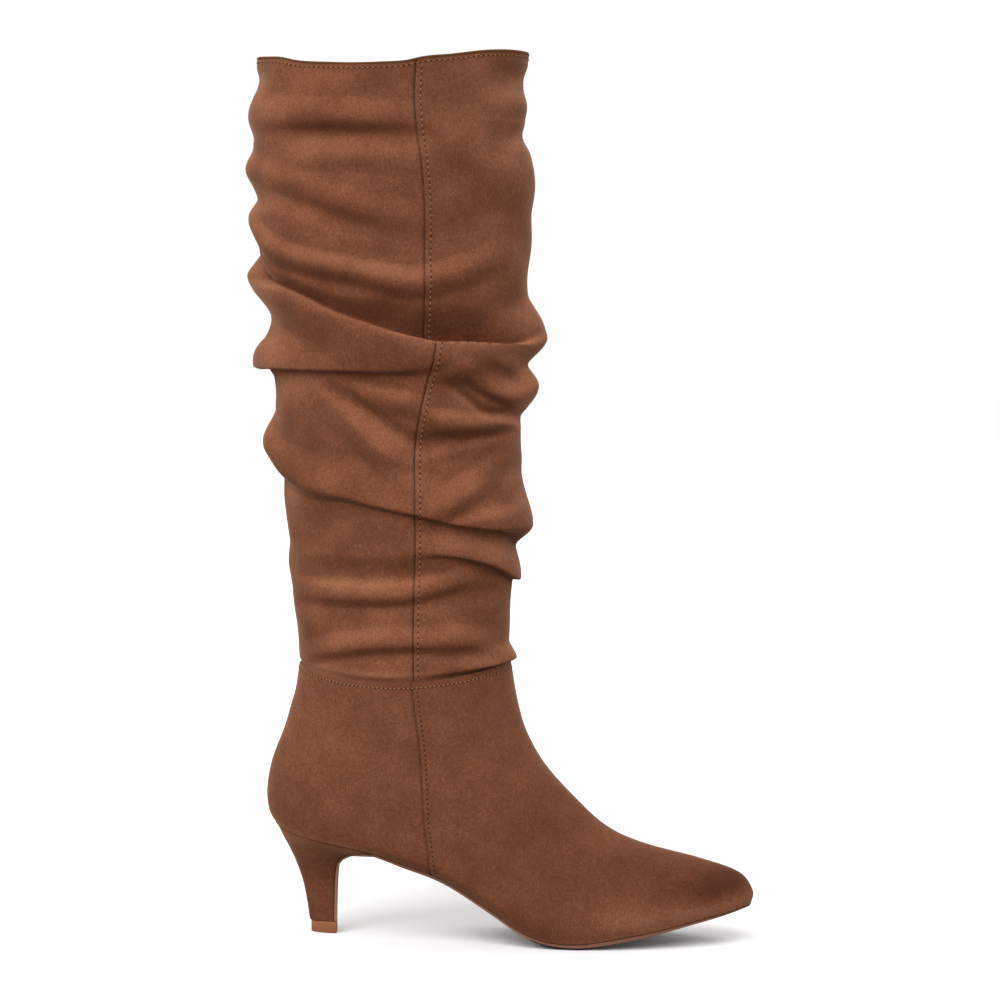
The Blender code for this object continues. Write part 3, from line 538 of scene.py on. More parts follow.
# The slouch. Each fold's crest runs through its points. push is how far it stands out there, or in where it is
# negative, and it dies away over "above" and "below". hang is how far the crest sags over the crease below it, or
# turns up over the one above where it is negative. A point without it doesn't hang.
Crest = namedtuple("Crest", "turn height push above below hang", defaults=(0,))
SLOUCH = {
    "top_ridge": (
        (56, 432, 0, 12, 8), (73, 433, 0.7, 12, 8), (86, 434, 1.4, 12, 8), (118, 436.5, 1.9, 12, 8),
        (142, 438, 1.6, 13, 9), (165, 440, 2.4, 14, 12), (180, 441, 3.6, 14, 14), (235, 443, 2.4, 14, 12),
        (290, 446, 0, 14, 12),
    ),
    "top_trough": (
        (64, 426, 0, 6, 6), (86, 427, -0.8, 6, 6), (112, 428, -1.0, 6, 6), (134, 428, -0.4, 6, 6),
        (150, 428, 0, 6, 6),
    ),
    "collar_nip": (
        (140, 459, 0, 8, 9), (165, 459, -1.3, 8, 9), (180, 459, -2.2, 8, 9), (205, 459, -1.3, 8, 9),
        (235, 459, 0, 8, 9),
    ),
    "front_nip": (
        (-50, 429, 0, 9, 9), (-10, 429, -2.0, 8, 9), (10, 428, -1.6, 8, 9), (40, 427, 0, 8, 9),
    ),
    "front_collar_nip": (
        (-45, 459, 0, 8, 12), (-10, 459, -1.7, 8, 12), (10, 459, -1.7, 8, 12), (45, 459, 0, 8, 12),
    ),
    "front_collar_swell": (
        (-45, 444, 0, 8, 8), (-10, 444, 1.3, 8, 8), (10, 444, 1.3, 8, 8), (45, 444, 0, 8, 8),
    ),
    "second_ridge": (
        (60, 412.5, 0, 9, 10), (76, 413.5, 0.8, 9, 10), (103, 415.5, 1.5, 9, 9), (122, 416, 0.9, 9, 9),
        (142, 414, 0.2, 9, 9), (154, 412, 0, 9, 9),
    ),
    "diagonal_ridge": (
        (68, 382.5, 0, 11, 9), (78, 383.5, 0.5, 11, 9), (90, 386, 1.1, 11, 9), (104, 391.5, 1.5, 11, 9),
        (123, 399.5, 1.5, 11, 9), (149, 408, 1.6, 11, 9), (180, 413, 4.2, 12, 12), (222, 414, 2.4, 13, 13),
        (262, 418, 0, 13, 13),
    ),
    "diagonal_trough": (
        (66, 373, 0, 9, 9), (87, 376, -0.6, 9, 9), (108, 383, -0.9, 9, 9), (129, 392, -0.7, 9, 9),
        (158, 395, -1.4, 8, 8), (180, 396.5, -1.6, 6, 8), (236, 396, -1.6, 10, 10), (285, 390, 0, 10, 10),
    ),
    "third_ridge": (
        (12, 373, 0, 13, 10), (32, 364, 1.0, 13, 10), (47, 357, 2.0, 12, 10), (62, 352, 2.6, 11, 10),
        (74, 349.2, 3.0, 10, 10), (88, 352.2, 3.2, 9, 9), (105, 356.2, 3.2, 9, 8), (126, 361.5, 3.0, 9.5, 8),
        (147, 369, 3.0, 11, 9), (162, 378, 3.6, 11, 9), (180, 387, 4.6, 12, 10), (222, 382, 2.6, 13, 11),
        (262, 374, 0, 13, 11),
    ),
    "third_trough": (
        (-12, 330, 0, 12, 8), (10, 322, -1.2, 14, 5), (28, 317.5, -2.4, 16, 3), (52, 318, -3.4, 20, 3),
        (66, 318.5, -4.2, 21, 3), (80, 322.2, -4.4, 18, 3), (97, 328.5, -4.4, 14, 3), (116, 336.1, -4.2, 11, 3),
        (133, 344.4, -3.8, 10, 3.2), (150, 349.4, -3.5, 10, 3.6), (165, 360, -3.2, 9, 6), (180, 373, -3.0, 9, 8),
        (228, 362, -2.0, 9, 9), (275, 352, 0, 9, 9),
    ),
    "front_bulge": (
        (-70, 404, 0, 22, 24), (-25, 409, 2.8, 20, 24), (10, 408, 3.4, 20, 24), (45, 406, 0, 22, 24),
    ),
    "main_lip": (
        (-96, 330, 0, 14, 18), (-62, 325, 2.2, 12, 18), (-25, 322, 1.2, 10, 16, -0.6), (0, 321, 1.2, 7, 16, -1),
        (27, 318.3, 4.0, 3.2, 18, -3.6), (52, 318.9, 4.8, 3, 20, -4), (66, 319.4, 5.2, 3, 20, -4),
        (80, 323.1, 5.2, 3, 20, -4), (97, 329.5, 5.2, 3, 20, -4), (116, 337.1, 5.2, 3, 20, -4),
        (133, 345.3, 5.4, 3.2, 20, -4), (150, 350.3, 6.0, 3.6, 18, -4), (165, 353.4, 6.4, 6, 16, -2.6),
        (180, 355.5, 6.6, 13, 16, -0.4), (215, 352, 6.0, 12, 16), (250, 340, 0, 12, 16),
    ),
    "front_nose": (
        (-55, 329, 0, 21, 14, 1), (-18, 325, 7.2, 21, 14, 1.5), (0, 322.2, 10.8, 21, 19, 1.5),
        (24, 319, 3.4, 20, 12, 1.5), (46, 316, 0, 18, 10, 1),
    ),
    "band_hollow": (
        (130, 328, 0, 10, 10), (150, 331, -1.4, 12, 10), (166, 333, -2.8, 12, 11), (180, 334.5, -3.8, 12, 12),
        (215, 332, -2.4, 12, 12), (245, 328, 0, 12, 12),
    ),
    "band_lip": (
        (58, 308, 0, 12, 4, 2), (70, 304.8, 1.8, 16, 5, 2.5), (87, 303.5, 3.0, 19, 4, 4),
        (101, 304.0, 3.8, 20, 3.5, 4.5), (123, 304.6, 3.8, 20, 3.5, 4.5), (150, 305.5, 4.6, 15, 4, 4),
        (165, 305.8, 6.6, 16, 4.5, 3.2), (180, 307, 10.4, 17, 4.2, 2.5), (212, 309, 6.0, 16, 6, 2),
        (255, 316, 0, 16, 6, 2),
    ),
    "band_brow": (
        (148, 316, 0, 5, 8), (165, 318, 1.3, 5, 8), (180, 318.5, 1.4, 5, 8), (210, 318.5, 0.8, 6, 8),
        (240, 318, 0, 6, 8),
    ),
    "band_tuck": (
        (140, 300, 0, 4, 14), (160, 300.5, -1.2, 4, 16), (180, 301, -2.7, 4, 18), (206, 301, -1.4, 5, 16),
        (240, 301, 0, 5, 14),
    ),
    "front_roll": (
        (-75, 302, 0, 10, 12), (-28, 298, 4.6, 10, 14, 1), (0, 295.5, 8.0, 11, 20, 2.5), (27, 290, 4.6, 10, 8, 2),
        (42, 295, 3.2, 9, 6, 2), (51, 300, 2.0, 8, 6, 2), (60, 304, 0, 8, 6, 2),
    ),
    "front_roll_crease": (
        (-30, 281, 0, 5, 5), (2, 279, -1.0, 5, 6), (26, 281, -1.8, 4, 5), (42, 283.6, -2.2, 4, 5),
        (53, 292.5, -1.8, 4, 5), (66, 299, 0, 4, 5),
    ),
    "front_low_ridge": (
        (4, 278, 0, 7, 6), (30, 276, 2.2, 7, 6), (53, 275, 2.8, 9, 7), (68, 277.5, 2.2, 9, 8), (80, 280, 0, 9, 8),
    ),
    "front_tuck": (
        (10, 274, 0, 5, 8), (30, 271, -0.9, 4.5, 5), (53, 268.6, -1.9, 5, 7), (70, 267, -1.7, 6, 10),
        (82, 267, 0, 6, 10),
    ),
    "wedge_ridge": (
        (64, 283, 0, 8, 9), (74, 285.5, 1.8, 8, 9), (88, 288.8, 2.2, 8, 9), (100, 293, 1.6, 7, 9),
        (114, 298, 0, 6, 8),
    ),
    "wedge_trough": (
        (66, 258, 0, 8, 8), (76, 266, -1.8, 8, 8), (92, 277.8, -2.2, 8, 8), (106, 290, -1.4, 7, 8),
        (118, 297, 0, 7, 8),
    ),
    "outer_sweep": (
        (68, 244, 0, 10, 15), (76, 249.4, 1.8, 10, 15), (84, 255, 2.6, 10, 16), (93, 262.5, 2.8, 10, 16),
        (102, 272.4, 2.6, 10, 16), (112, 282.5, 1.6, 9, 15), (124, 293, 0, 9, 14),
    ),
    "front_sweep": (
        (10, 262, 0, 11, 10), (26, 255, 1.0, 11, 10), (44, 245.4, 2.3, 11, 9), (62, 235.7, 2.0, 11, 8),
        (75, 230, 0, 10, 8),
    ),
    "front_sweep_trough": (
        (-4, 240, 0, 8, 6), (14, 239, -1.2, 9, 7), (32, 237.5, -1.5, 9, 7), (46, 235.5, -1.5, 8, 6),
        (60, 232, -1.0, 7, 6), (70, 230, 0, 7, 6),
    ),
    "inner_sweep": (
        (225, 300, 0, 16, 12), (258, 288, 3.6, 16, 12), (290, 274, 3.6, 16, 12), (325, 266, 0, 16, 12),
    ),
    "pouch_lip": (
        (-80, 238, 0, 24, 6, 2), (-35, 227, 5.6, 27, 9, 2), (0, 222, 9.2, 30, 13, 1), (18, 221, 7.6, 30, 8, 3),
        (34, 220.5, 6.6, 27, 3.8, 4.8), (58, 224, 5.2, 22, 3.8, 4.6), (76, 229, 4.2, 21, 4, 3.5),
        (94, 233.5, 3.6, 21, 4.5, 3), (110, 238, 3.4, 20, 5, 2.5), (130, 243.5, 3.6, 19, 9, 0.8),
        (156, 252.5, 5.2, 18, 8.5), (180, 264.3, 10.1, 21, 9.5), (215, 261, 6.4, 17, 13), (255, 252, 0, 17, 12),
    ),
    "inner_pouch": (
        (228, 224, 0, 18, 8, 2), (262, 220, 4.0, 18, 8, 2), (300, 212, 3.4, 18, 8, 2), (335, 208, 0, 18, 8, 2),
    ),
    "front_pocket": (
        (-58, 206, 0, 13, 6, 2), (-34, 200.5, 2.4, 14, 5, 2.5), (-14, 195, 3.8, 16, 4, 2.8),
        (0, 192.8, 4.4, 18, 3.5, 3), (14, 195, 4.5, 17, 3.5, 3), (32, 200.6, 5.0, 16, 3.3, 4),
        (46, 204.6, 4.3, 15, 3.3, 3.8), (58, 207.4, 2.8, 14, 4, 2.5), (68, 208.8, 1.4, 12, 5, 2),
        (80, 210, 0, 12, 5, 2),
    ),
    "back_shallow": (
        (60, 200, 0, 10, 7), (78, 197.5, -1.8, 11, 7), (106, 196.6, -2.2, 11, 7), (131, 196.6, -1.4, 11, 7),
        (152, 198, -0.4, 10, 7), (168, 200, 0, 10, 7),
    ),
    "back_swell": (
        (138, 200, 0, 14, 14), (162, 200, 1.4, 14, 14), (180, 200, 2.2, 14, 14), (212, 200, 1.2, 14, 14),
        (240, 200, 0, 14, 14),
    ),
    "lower_ridge": (
        (40, 196, 0, 8, 6), (57, 192.2, 1.7, 9, 6.5), (68, 189.3, 2.1, 9, 6.5), (80, 186.6, 2.4, 8.5, 6.5),
        (108, 185.4, 2.4, 8.5, 6.5), (133, 186, 1.4, 9, 7), (156, 187.3, 0.4, 9, 7), (176, 188.5, 0, 9, 7),
    ),
    "lower_trough": (
        (-5, 187, 0, 6, 9), (25, 187, -0.6, 6, 9), (46, 187.4, -0.8, 6, 9), (62, 183.6, -0.7, 5, 10),
        (78, 180, -0.7, 5, 10), (108, 178.9, -0.7, 5, 10), (134, 179.4, -0.4, 6, 10), (165, 180, 0, 6, 10),
    ),
    "ankle_ridge": (
        (6, 157, 0, 10, 6), (38, 160, 1.6, 11, 6.5), (62, 161.4, 1.9, 11, 7), (78, 161, 2.3, 11, 6),
        (98, 160, 2.3, 11, 6), (120, 157, 1.9, 11, 6), (142, 153, 1.1, 10, 5.5), (165, 151, 0, 9, 6),
    ),
    "ankle_trough": (
        (14, 156.5, 0, 5, 6), (38, 155, -0.7, 5, 6), (62, 155.2, -0.6, 4.5, 7), (98, 154.2, -0.6, 4.5, 7),
        (121, 151.8, -0.5, 4.5, 6), (156, 149.5, 0, 5, 6),
    ),
    "inner_ridge": (
        (196, 176, 0, 10, 10), (240, 180, 2.4, 10, 10), (290, 184, 2.4, 10, 10), (330, 180, 0, 10, 10),
    ),
    "ankle_bulge": (
        (-62, 152.6, 0, 8, 5, 1), (-25, 151.2, 3.0, 7, 5, 2), (0, 150.4, 4.2, 7, 5, 2.2),
        (31, 148.4, 3.2, 9, 4, 2.5), (58, 145.7, 1.6, 8, 4, 1.5), (76, 144, 0, 6, 4, 1),
    ),
}
FOLDS = [table(Crest, *points) for points in SLOUCH.values()]

# Loose ripples over the whole shaft: waves round it, millimetres from wave to wave up it, height, phase
Ripple = namedtuple("Ripple", "waves pitch height phase")
RIPPLES = table(
    Ripple,
    (3, 61, 0.40, 0.4), (-5, 43, 0.30, 2.1), (7, 29, 0.20, 4.0), (-9, 37, 0.16, 1.2),
)


def ankle_edge_height(turn):
    ankle = RINGS[-1]
    share = (1 + np.cos(np.radians(turn))) / 2
    return ankle.back_z + (ankle.front_z - ankle.back_z) * share - ankle.sag * sole_hollow(share, 1)


def read_row(rows, at, key=None):
    """All columns of a table at once."""
    kind = type(rows[0])
    return kind(*[read_table(rows, column, at, key) for column in kind._fields])


def fold_shift(turn, height):
    """How far the folds push the shaft out at each point, and how far they let it down."""
    out = np.zeros_like(height)
    down = np.zeros_like(height)
    for points in FOLDS:
        first, last = points[0].turn, points[-1].turn
        along = (turn - first) % 360 + first
        crest = read_row(points, along, "turn")
        push = np.where(along <= last, crest.push, 0)
        most = max((point.push for point in points), key=abs)
        hang = crest.hang * np.clip(2 * push / most, 0, 1)
        offset = height - crest.height - hang
        reach = np.where(offset > 0, crest.above, crest.below)
        fade = np.clip(1 - (offset / reach) ** 2, 0, 1) ** 2
        out += push * fade
        down += hang * fade
    for ripple in RIPPLES:
        swing = np.radians(turn) * ripple.waves + 2 * math.pi * height / ripple.pitch + ripple.phase
        out += ripple.height * np.sin(swing)
    return out, down


def shaft_height(turn, climb):
    """Height of a share of the way up the shaft before it slouches, and how far it is clear of the ankle edge."""
    ankle = ankle_edge_height(turn) + RIM_CLEAR
    low = ankle - LAP - RIM_CLEAR
    height = low + (read_table(COLLAR_EDGE, "height", turn % 360, "turn") - low) * climb
    return height, ease(height, ankle, ankle + TUCK_RELEASE)


def shaft_point(turn, height, out, down=0):
    """A point that stands out from the shaft's plain tube and is let down from its height."""
    back_x = read_table(SHAFT_TUBE, "back_x", height, "height")
    front_x = read_table(SHAFT_TUBE, "front_x", height, "height")
    half_length = (front_x - back_x) / 2
    half_width = read_table(SHAFT_TUBE, "half_width", height, "height")
    angle = np.radians(turn)
    across = np.stack([np.cos(angle) * half_width, -np.sin(angle) * half_length])
    across /= np.hypot(*across)
    x = (back_x + front_x) / 2 + half_length * np.cos(angle) + across[0] * out
    y = -half_width * np.sin(angle) + across[1] * out
    return np.stack([x, y, height - down], axis=1)


def shaft_surface(turn, climb):
    """The shaft's outside: turn in degrees, climb from the lap inside the ankle edge, 0, to the collar, 1."""
    height, clear = shaft_height(turn, climb)
    out, down = fold_shift(turn, height)
    return shaft_point(turn, height, out * clear - TUCK * (1 - clear), down * clear)


def shaft_normals(turn, climb):
    return -normals_of(shaft_surface, turn, climb, step=2e-3)


def seam_turn(rows, climb):
    """The seam's turn at a share of the way up the shaft."""
    return read_table(rows, "turn", SEAM_FOOT + SEAM_LENGTH * climb, "height")


def millimetres_round(turn):
    """About how far round the shaft one degree goes, at that turn."""
    angle = np.radians(turn)
    return np.hypot(ABOUT_HALF_LENGTH * np.sin(angle), ABOUT_HALF_WIDTH * np.cos(angle)) * math.pi / 180


def back_panel_surface(u, v):
    outer = seam_turn(OUTER_SEAM, v)
    inner = 360 + seam_turn(INNER_SEAM, v)
    under = SEAM_UNDERLAP / millimetres_round(outer)
    turn = inner + under + (outer - inner - 2 * under) * crowd(u, EDGE_CROWDING)
    beside = np.minimum(turn - outer, inner - turn) * millimetres_round(turn)
    step_in = SEAM_STEP * (1 - ease(beside, SHOULDER_FROM, SHOULDER_TO))
    return shaft_surface(turn, v) - shaft_normals(turn, v) * step_in[:, None]


def front_panel_surface(u, v):
    outer = seam_turn(OUTER_SEAM, v)
    inner = seam_turn(INNER_SEAM, v)
    turn = outer + (inner - outer) * crowd(u, EDGE_CROWDING)
    beside = np.minimum(outer - turn, turn - inner) * millimetres_round(turn)
    roll = EDGE_ROLL * (1 - ease(beside, 0, EDGE_ROLL_WIDTH))
    return shaft_surface(turn, v) - shaft_normals(turn, v) * roll[:, None]


# Painted light and shade on the shaft, patch by patch, paler where a fold catches light and darker where shade falls:
# middle of the patch round and up the shaft, its reach, how much
ShaftLightPatch = namedtuple("ShaftLightPatch", "turn height reach_turn reach_height shift")
SHAFT_PAINTED_LIGHT = table(
    ShaftLightPatch,
    (40, 452, 30, 26, 0.45), (150, 452, 26, 22, 0.30), (110, 429.5, 26, 4.5, -0.45), (97, 420, 22, 5, 0.20),
    (128, 413, 18, 10, 0.60), (160, 408, 16, 26, 0.20), (150, 397, 14, 6, 0.50), (112, 400, 12, 5, -0.25),
    (50, 410, 14, 9, -0.15), (95, 357, 34, 6, -0.05), (40, 362, 12, 6, 0.30), (152, 339, 14, 12, 1.30),
    (86, 342, 10, 5, -0.70), (58, 336, 12, 10, -0.60), (78, 324, 26, 12, -0.35), (116, 322, 15, 7, -0.28),
    (14, 311, 16, 8, 0.70), (46, 312, 9, 6, -0.15), (138, 295, 24, 12, 0.80), (15, 288, 14, 8, 0.60),
    (97, 276, 10, 6, 0.18), (80, 248, 8, 6, 0.50), (50, 248.5, 10, 5, -0.20), (28, 236, 9, 4, -0.35),
    (45, 238, 8, 4, 0.20), (144, 258, 18, 11, -0.65), (150, 239, 14, 7, 1.00), (0, 213, 8, 3, -0.90),
    (40, 212, 26, 7, 0.50), (95, 187, 34, 6, 0.30), (95, 178, 34, 5, 0.30), (92, 164, 30, 6, 0.28),
)

# Lines of painted light and shade: painted shade in the crease behind the main lip, a painted highlight on the lip
# itself, painted shade in the crease over the front roll, and painted light at the foot of the shaft. Each point has
# its place, the line's reach above and below, and the shift.
PaintedLightLine = namedtuple("PaintedLightLine", "turn height above below shift")
SHAFT_PAINTED_LINES = (
    table(
        PaintedLightLine,
        (10, 318.6, 6, 0.3, 0), (28, 318.8, 7, 0.3, -0.6), (52, 319.4, 8, 0.3, -0.7), (66, 319.9, 6, 0.3, -0.5),
        (80, 323.6, 5, 0.3, -0.4), (97, 330.0, 4, 0.3, -0.3), (116, 337.6, 3, 0.3, -0.6),
        (133, 345.8, 3, 0.3, -0.6), (150, 350.8, 3, 0.3, -0.8), (165, 353.9, 5, 0.3, -0.8), (178, 355.5, 5, 0.3, 0),
    ),
    table(
        PaintedLightLine,
        (2, 317.8, 0.5, 7, 0), (20, 317.8, 0.5, 7, 0.8), (52, 318.4, 0.5, 9, 1.0), (66, 318.9, 0.5, 8, 0.9),
        (80, 322.6, 0.5, 4.5, 0.7), (97, 329.0, 0.5, 4, 0.5), (116, 336.6, 0.5, 4, 0.4), (133, 344.8, 0.5, 5, 0.4),
        (150, 349.8, 0.5, 6, 0.6), (165, 352.9, 0.5, 7, 0.8), (180, 355.0, 0.5, 8, 0.8), (200, 355.0, 0.5, 8, 0),
    ),
    table(
        PaintedLightLine,
        (12, 300, 3, 4, 0), (22, 303, 3, 4, -0.7), (34, 306, 3, 4, -0.7), (46, 304, 3.5, 5, -0.8),
        (56, 300, 4, 6, -0.9), (68, 298, 4, 5, 0),
    ),
    table(
        PaintedLightLine,
        (52, 145.5, 3, 3, 0), (66, 143, 3.5, 3, 0.9), (90, 142, 4, 3, 1.1), (115, 143, 4, 3, 1.1),
        (140, 145.5, 3, 3, 0.6), (162, 148, 3, 3, 0),
    ),
)


def paint_shaft_light(piece):
    """Paints light and shade into the colour: paler where a fold faces up to the light, darker where it faces down,
    with the painted patches and lines listed above.
    """
    tilt = np.empty(len(piece.data.vertices) * 3)
    piece.data.vertex_normals.foreach_get("vector", tilt)
    tilt = tilt.reshape(-1, 3)[:, 2] + PAINTED_LIGHT_LEAN
    painted_light = np.where(tilt > 0, PAINTED_LIGHT_GAIN * tilt, PAINTED_SHADE_GAIN * tilt)
    x, y, height = ((spots_of(piece) - [heel_back_x, 0, 0]) / MILLIMETRE).T
    turn = np.degrees(np.arctan2(-y / ABOUT_HALF_WIDTH, (x - SHAFT_MIDDLE_X) / ABOUT_HALF_LENGTH)) % 360
    for patch in SHAFT_PAINTED_LIGHT:
        away = ((turn - patch.turn) / patch.reach_turn) ** 2 + ((height - patch.height) / patch.reach_height) ** 2
        painted_light += patch.shift * np.exp(-away)
    for points in SHAFT_PAINTED_LINES:
        line = read_row(points, turn, "turn")
        offset = height - line.height
        painted_light += line.shift * np.exp(-((offset / np.where(offset > 0, line.above, line.below)) ** 2))
    mark_painted_light(piece, np.clip(painted_light, -1, 1))


back_panel = lay_grid("back_panel", BACK_COLUMNS, SHAFT_ROWS, back_panel_surface)
paint_shaft_light(back_panel)
give_wall(back_panel, SHAFT_WALL, even=False)
shade(back_panel, degrees=80)
dress(back_panel, suede, "shaft")
front_panel = lay_grid("front_panel", FRONT_COLUMNS, SHAFT_ROWS, front_panel_surface)
paint_shaft_light(front_panel)
# The front panel's cut edge takes the same dark brown, painted shade along its seams.
front_panel.data.materials.append(suede)
front_panel.data.materials.append(cut_edge_and_shade)
give_wall(front_panel, SHAFT_WALL, even=False, rim=1)
shade(front_panel, degrees=80)
dress(front_panel, suede, "shaft")

# Shaft lining
# A thin brown knit is bonded inside the shaft and turns in at the collar. It bridges the outer folds, rises over the
# allowances of the two side seams, and is plain.
LINING_INSET, LINING_WALL = 2.0, 0.3
LINING_FOOT, LINING_RISE = 0.004, 0.991
ALLOWANCE_RISE, ALLOWANCE_DEGREES = 1.1, 8.0
LINING_BROWN = (0.11, 0.05, 0.03)
LINING_COLUMNS, LINING_ROWS = 128, 150
SEW_SIDES = (bpy.ops.mesh.remove_doubles, {"threshold": 1e-6})


def seam_rise(turn, climb):
    """How far the allowances of the two side seams push in what lies over them."""
    rise = np.zeros_like(turn)
    for rows in (OUTER_SEAM, INNER_SEAM):
        from_seam = (turn - seam_turn(rows, climb) + 180) % 360 - 180
        rise += ALLOWANCE_RISE * np.exp(-((from_seam / ALLOWANCE_DEGREES) ** 2))
    return rise


def lining_surface(u, v):
    turn = -360 * u
    height, clear = shaft_height(turn, LINING_FOOT + LINING_RISE * v)
    out = np.minimum(fold_shift(turn, height)[0], 0)
    return shaft_point(turn, height, out * clear - TUCK * (1 - clear) - LINING_INSET - seam_rise(turn, v))


lining = lay_grid("shaft_lining", LINING_COLUMNS, LINING_ROWS, lining_surface)
edit_all(lining, SEW_SIDES)
give_wall(lining, LINING_WALL, even=False)
shade(lining, degrees=60)
dress(lining, plain_material("lining_knit", LINING_BROWN, roughness=0.9, specular=0.1), "shaft")

# Collar edge
# The shaft's top edge is turned over a narrow tape and pressed flat, so a thin dark rolled edge shows all round. It
# is thicker inwards over the allowances of the side seams.
COLLAR_ROLL_OUT, COLLAR_ROLL_UP = 0.95, 0.9
COLLAR_ROLL_IN, COLLAR_ROLL_DOWN = 0.75, 0.35
COLLAR_COLUMNS, COLLAR_ROWS = 180, 8
COLLAR_BROWN = (0.115, 0.044, 0.015)
FACE_OUT = (bpy.ops.mesh.normals_make_consistent, {"inside": False})


def collar_edge_surface(u, v):
    turn = -360 * u
    top = np.ones_like(turn)
    angle = 2 * math.pi * v
    out = shaft_normals(turn, top)
    out[:, 2] = 0
    out /= np.linalg.norm(out, axis=1, keepdims=True)
    reach = COLLAR_ROLL_OUT * np.cos(angle) - COLLAR_ROLL_IN - seam_rise(turn, top) * (1 - np.cos(angle)) / 2
    points = shaft_surface(turn, top) + out * reach[:, None]
    points[:, 2] += COLLAR_ROLL_UP * np.sin(angle) - COLLAR_ROLL_DOWN
    return points


collar_edge = lay_grid("collar_edge", COLLAR_COLUMNS, COLLAR_ROWS, collar_edge_surface)
edit_all(collar_edge, SEW_SIDES, FACE_OUT)
shade(collar_edge)
dress(collar_edge, plain_material("collar_tape", COLLAR_BROWN, roughness=0.85, specular=0.1), "shaft")

# Stitching
# Tan thread runs in single rows: under the collar, beside the side seams of shaft and foot, and along the ankle edge
# where foot and shaft are sewn together. Between the stitches dark grains paint the shade in the needle holes.
EDGE_THREAD = (0.30, 0.142, 0.068)
SHAFT_THREAD = (0.32, 0.150, 0.078)
FOOT_THREAD = (0.20, 0.085, 0.042)
HOLE_SHADE_BROWN = (0.055, 0.021, 0.010)
COLLAR_PITCH, SHAFT_PITCH, ANKLE_PITCH, FOOT_PITCH = 2.9, 3.1, 2.35, 2.6
SHAFT_ROW_BESIDE, FOOT_ROW_BESIDE = 2.6, 2.3
COLLAR_ROW_AT, ANKLE_ROW_AT = 0.9925, 0.983
STITCH_SIZE, STITCH_LIFT = (1.55, 0.70, 0.55), 0.06
HOLE_SIZE, HOLE_LIFT = (1.15, 0.85, 0.34), 0.02
ROW_START, STEP_ASIDE, ROW_SAMPLES, FOOT_ROW_SAMPLES = 0.3, 0.3, 900, 500
SHAFT_ROW_FROM, SHAFT_ROW_TO, FOOT_ROW_FROM, FOOT_ROW_TO = 0.026, 0.992, 0.02, 0.975
Row = namedtuple("Row", "name surface normals first second pitch thread")

bpy.ops.object.select_all(action="DESELECT")
bpy.ops.mesh.primitive_uv_sphere_add(segments=8, ring_count=6, radius=0.5)
grain = bpy.context.object
grain_points = np.array([vert.co for vert in grain.data.vertices])
grain_faces = [tuple(face.vertices) for face in grain.data.polygons]
bpy.data.objects.remove(grain)

edge_thread = plain_material("edge_thread", EDGE_THREAD, roughness=0.7, specular=0.2)
shaft_thread = plain_material("shaft_thread", SHAFT_THREAD, roughness=0.7, specular=0.2)
foot_thread = plain_material("foot_thread", FOOT_THREAD, roughness=0.7, specular=0.2)
needle_hole_shade = plain_material("needle_hole_shade", HOLE_SHADE_BROWN, roughness=0.95, specular=0.0)


def copy_along(name, row, shift, size, lift):
    """Copies the one rounded grain along a row, turned with the row and the surface, as one mesh."""
    points = row.surface(row.first, row.second)
    walked = np.concatenate([[0], np.cumsum(np.linalg.norm(np.diff(points, axis=0), axis=1))])
    at = np.arange(row.pitch * (ROW_START + shift), walked[-1] - STEP_ASIDE, row.pitch)
    first = np.interp(at, walked, row.first)
    second = np.interp(at, walked, row.second)
    ahead = [np.interp(at + STEP_ASIDE, walked, values) for values in (row.first, row.second)]
    behind = [np.interp(at - STEP_ASIDE, walked, values) for values in (row.first, row.second)]
    tangent = row.surface(*ahead) - row.surface(*behind)
    tangent /= np.maximum(np.linalg.norm(tangent, axis=1, keepdims=True), 1e-9)
    out = row.normals(first, second)
    side = np.cross(out, tangent)
    middle = row.surface(first, second) + out * lift
    spread = grain_points * np.array(size)
    spots = middle[:, None] + sum(
        axis[:, None] * spread[None, :, number, None] for number, axis in enumerate((tangent, side, out))
    )
    faces = [tuple(corner + copy * len(spread) for corner in face) for copy in range(len(at)) for face in grain_faces]
    mesh = bpy.data.meshes.new(name)
    mesh.from_pydata(in_place(spots.reshape(-1, 3)).tolist(), [], faces)
    piece = bpy.data.objects.new(name, mesh)
    bpy.context.scene.collection.objects.link(piece)
    edit_all(piece, FACE_OUT)
    shade(piece, degrees=80)
    return piece


def beside_seam(rows, climb, millimetres):
    turn = seam_turn(rows, climb)
    return turn + millimetres / millimetres_round(turn)


def beside_foot_seam(v, millimetres):
    return foot_turn_at(foot_seam_x(v) + millimetres, v)


up_shaft = np.linspace(SHAFT_ROW_FROM, SHAFT_ROW_TO, ROW_SAMPLES)
up_foot = np.linspace(FOOT_ROW_FROM, FOOT_ROW_TO, FOOT_ROW_SAMPLES)
round_collar = np.linspace(0, 360, ROW_SAMPLES)
round_ankle = np.linspace(0, 1, ROW_SAMPLES)
under_collar = np.full_like(round_collar, COLLAR_ROW_AT)
under_ankle = np.full_like(round_ankle, ANKLE_ROW_AT)
outer_row = beside_seam(OUTER_SEAM, up_shaft, -SHAFT_ROW_BESIDE)
inner_row = beside_seam(INNER_SEAM, up_shaft, SHAFT_ROW_BESIDE)
foot_row = beside_foot_seam(up_foot, FOOT_ROW_BESIDE)
STITCH_ROWS = (
    Row("collar", shaft_surface, shaft_normals, round_collar, under_collar, COLLAR_PITCH, edge_thread),
    Row("outer_seam", shaft_surface, shaft_normals, outer_row, up_shaft, SHAFT_PITCH, shaft_thread),
    Row("inner_seam", shaft_surface, shaft_normals, inner_row, up_shaft, SHAFT_PITCH, shaft_thread),
    Row("ankle", foot_surface, foot_normals, round_ankle, under_ankle, ANKLE_PITCH, edge_thread),
    Row("outer_foot_seam", foot_surface, foot_normals, foot_row, up_foot, FOOT_PITCH, foot_thread),
    Row("inner_foot_seam", foot_surface, foot_normals, 1 - foot_row, up_foot, FOOT_PITCH, foot_thread),
)
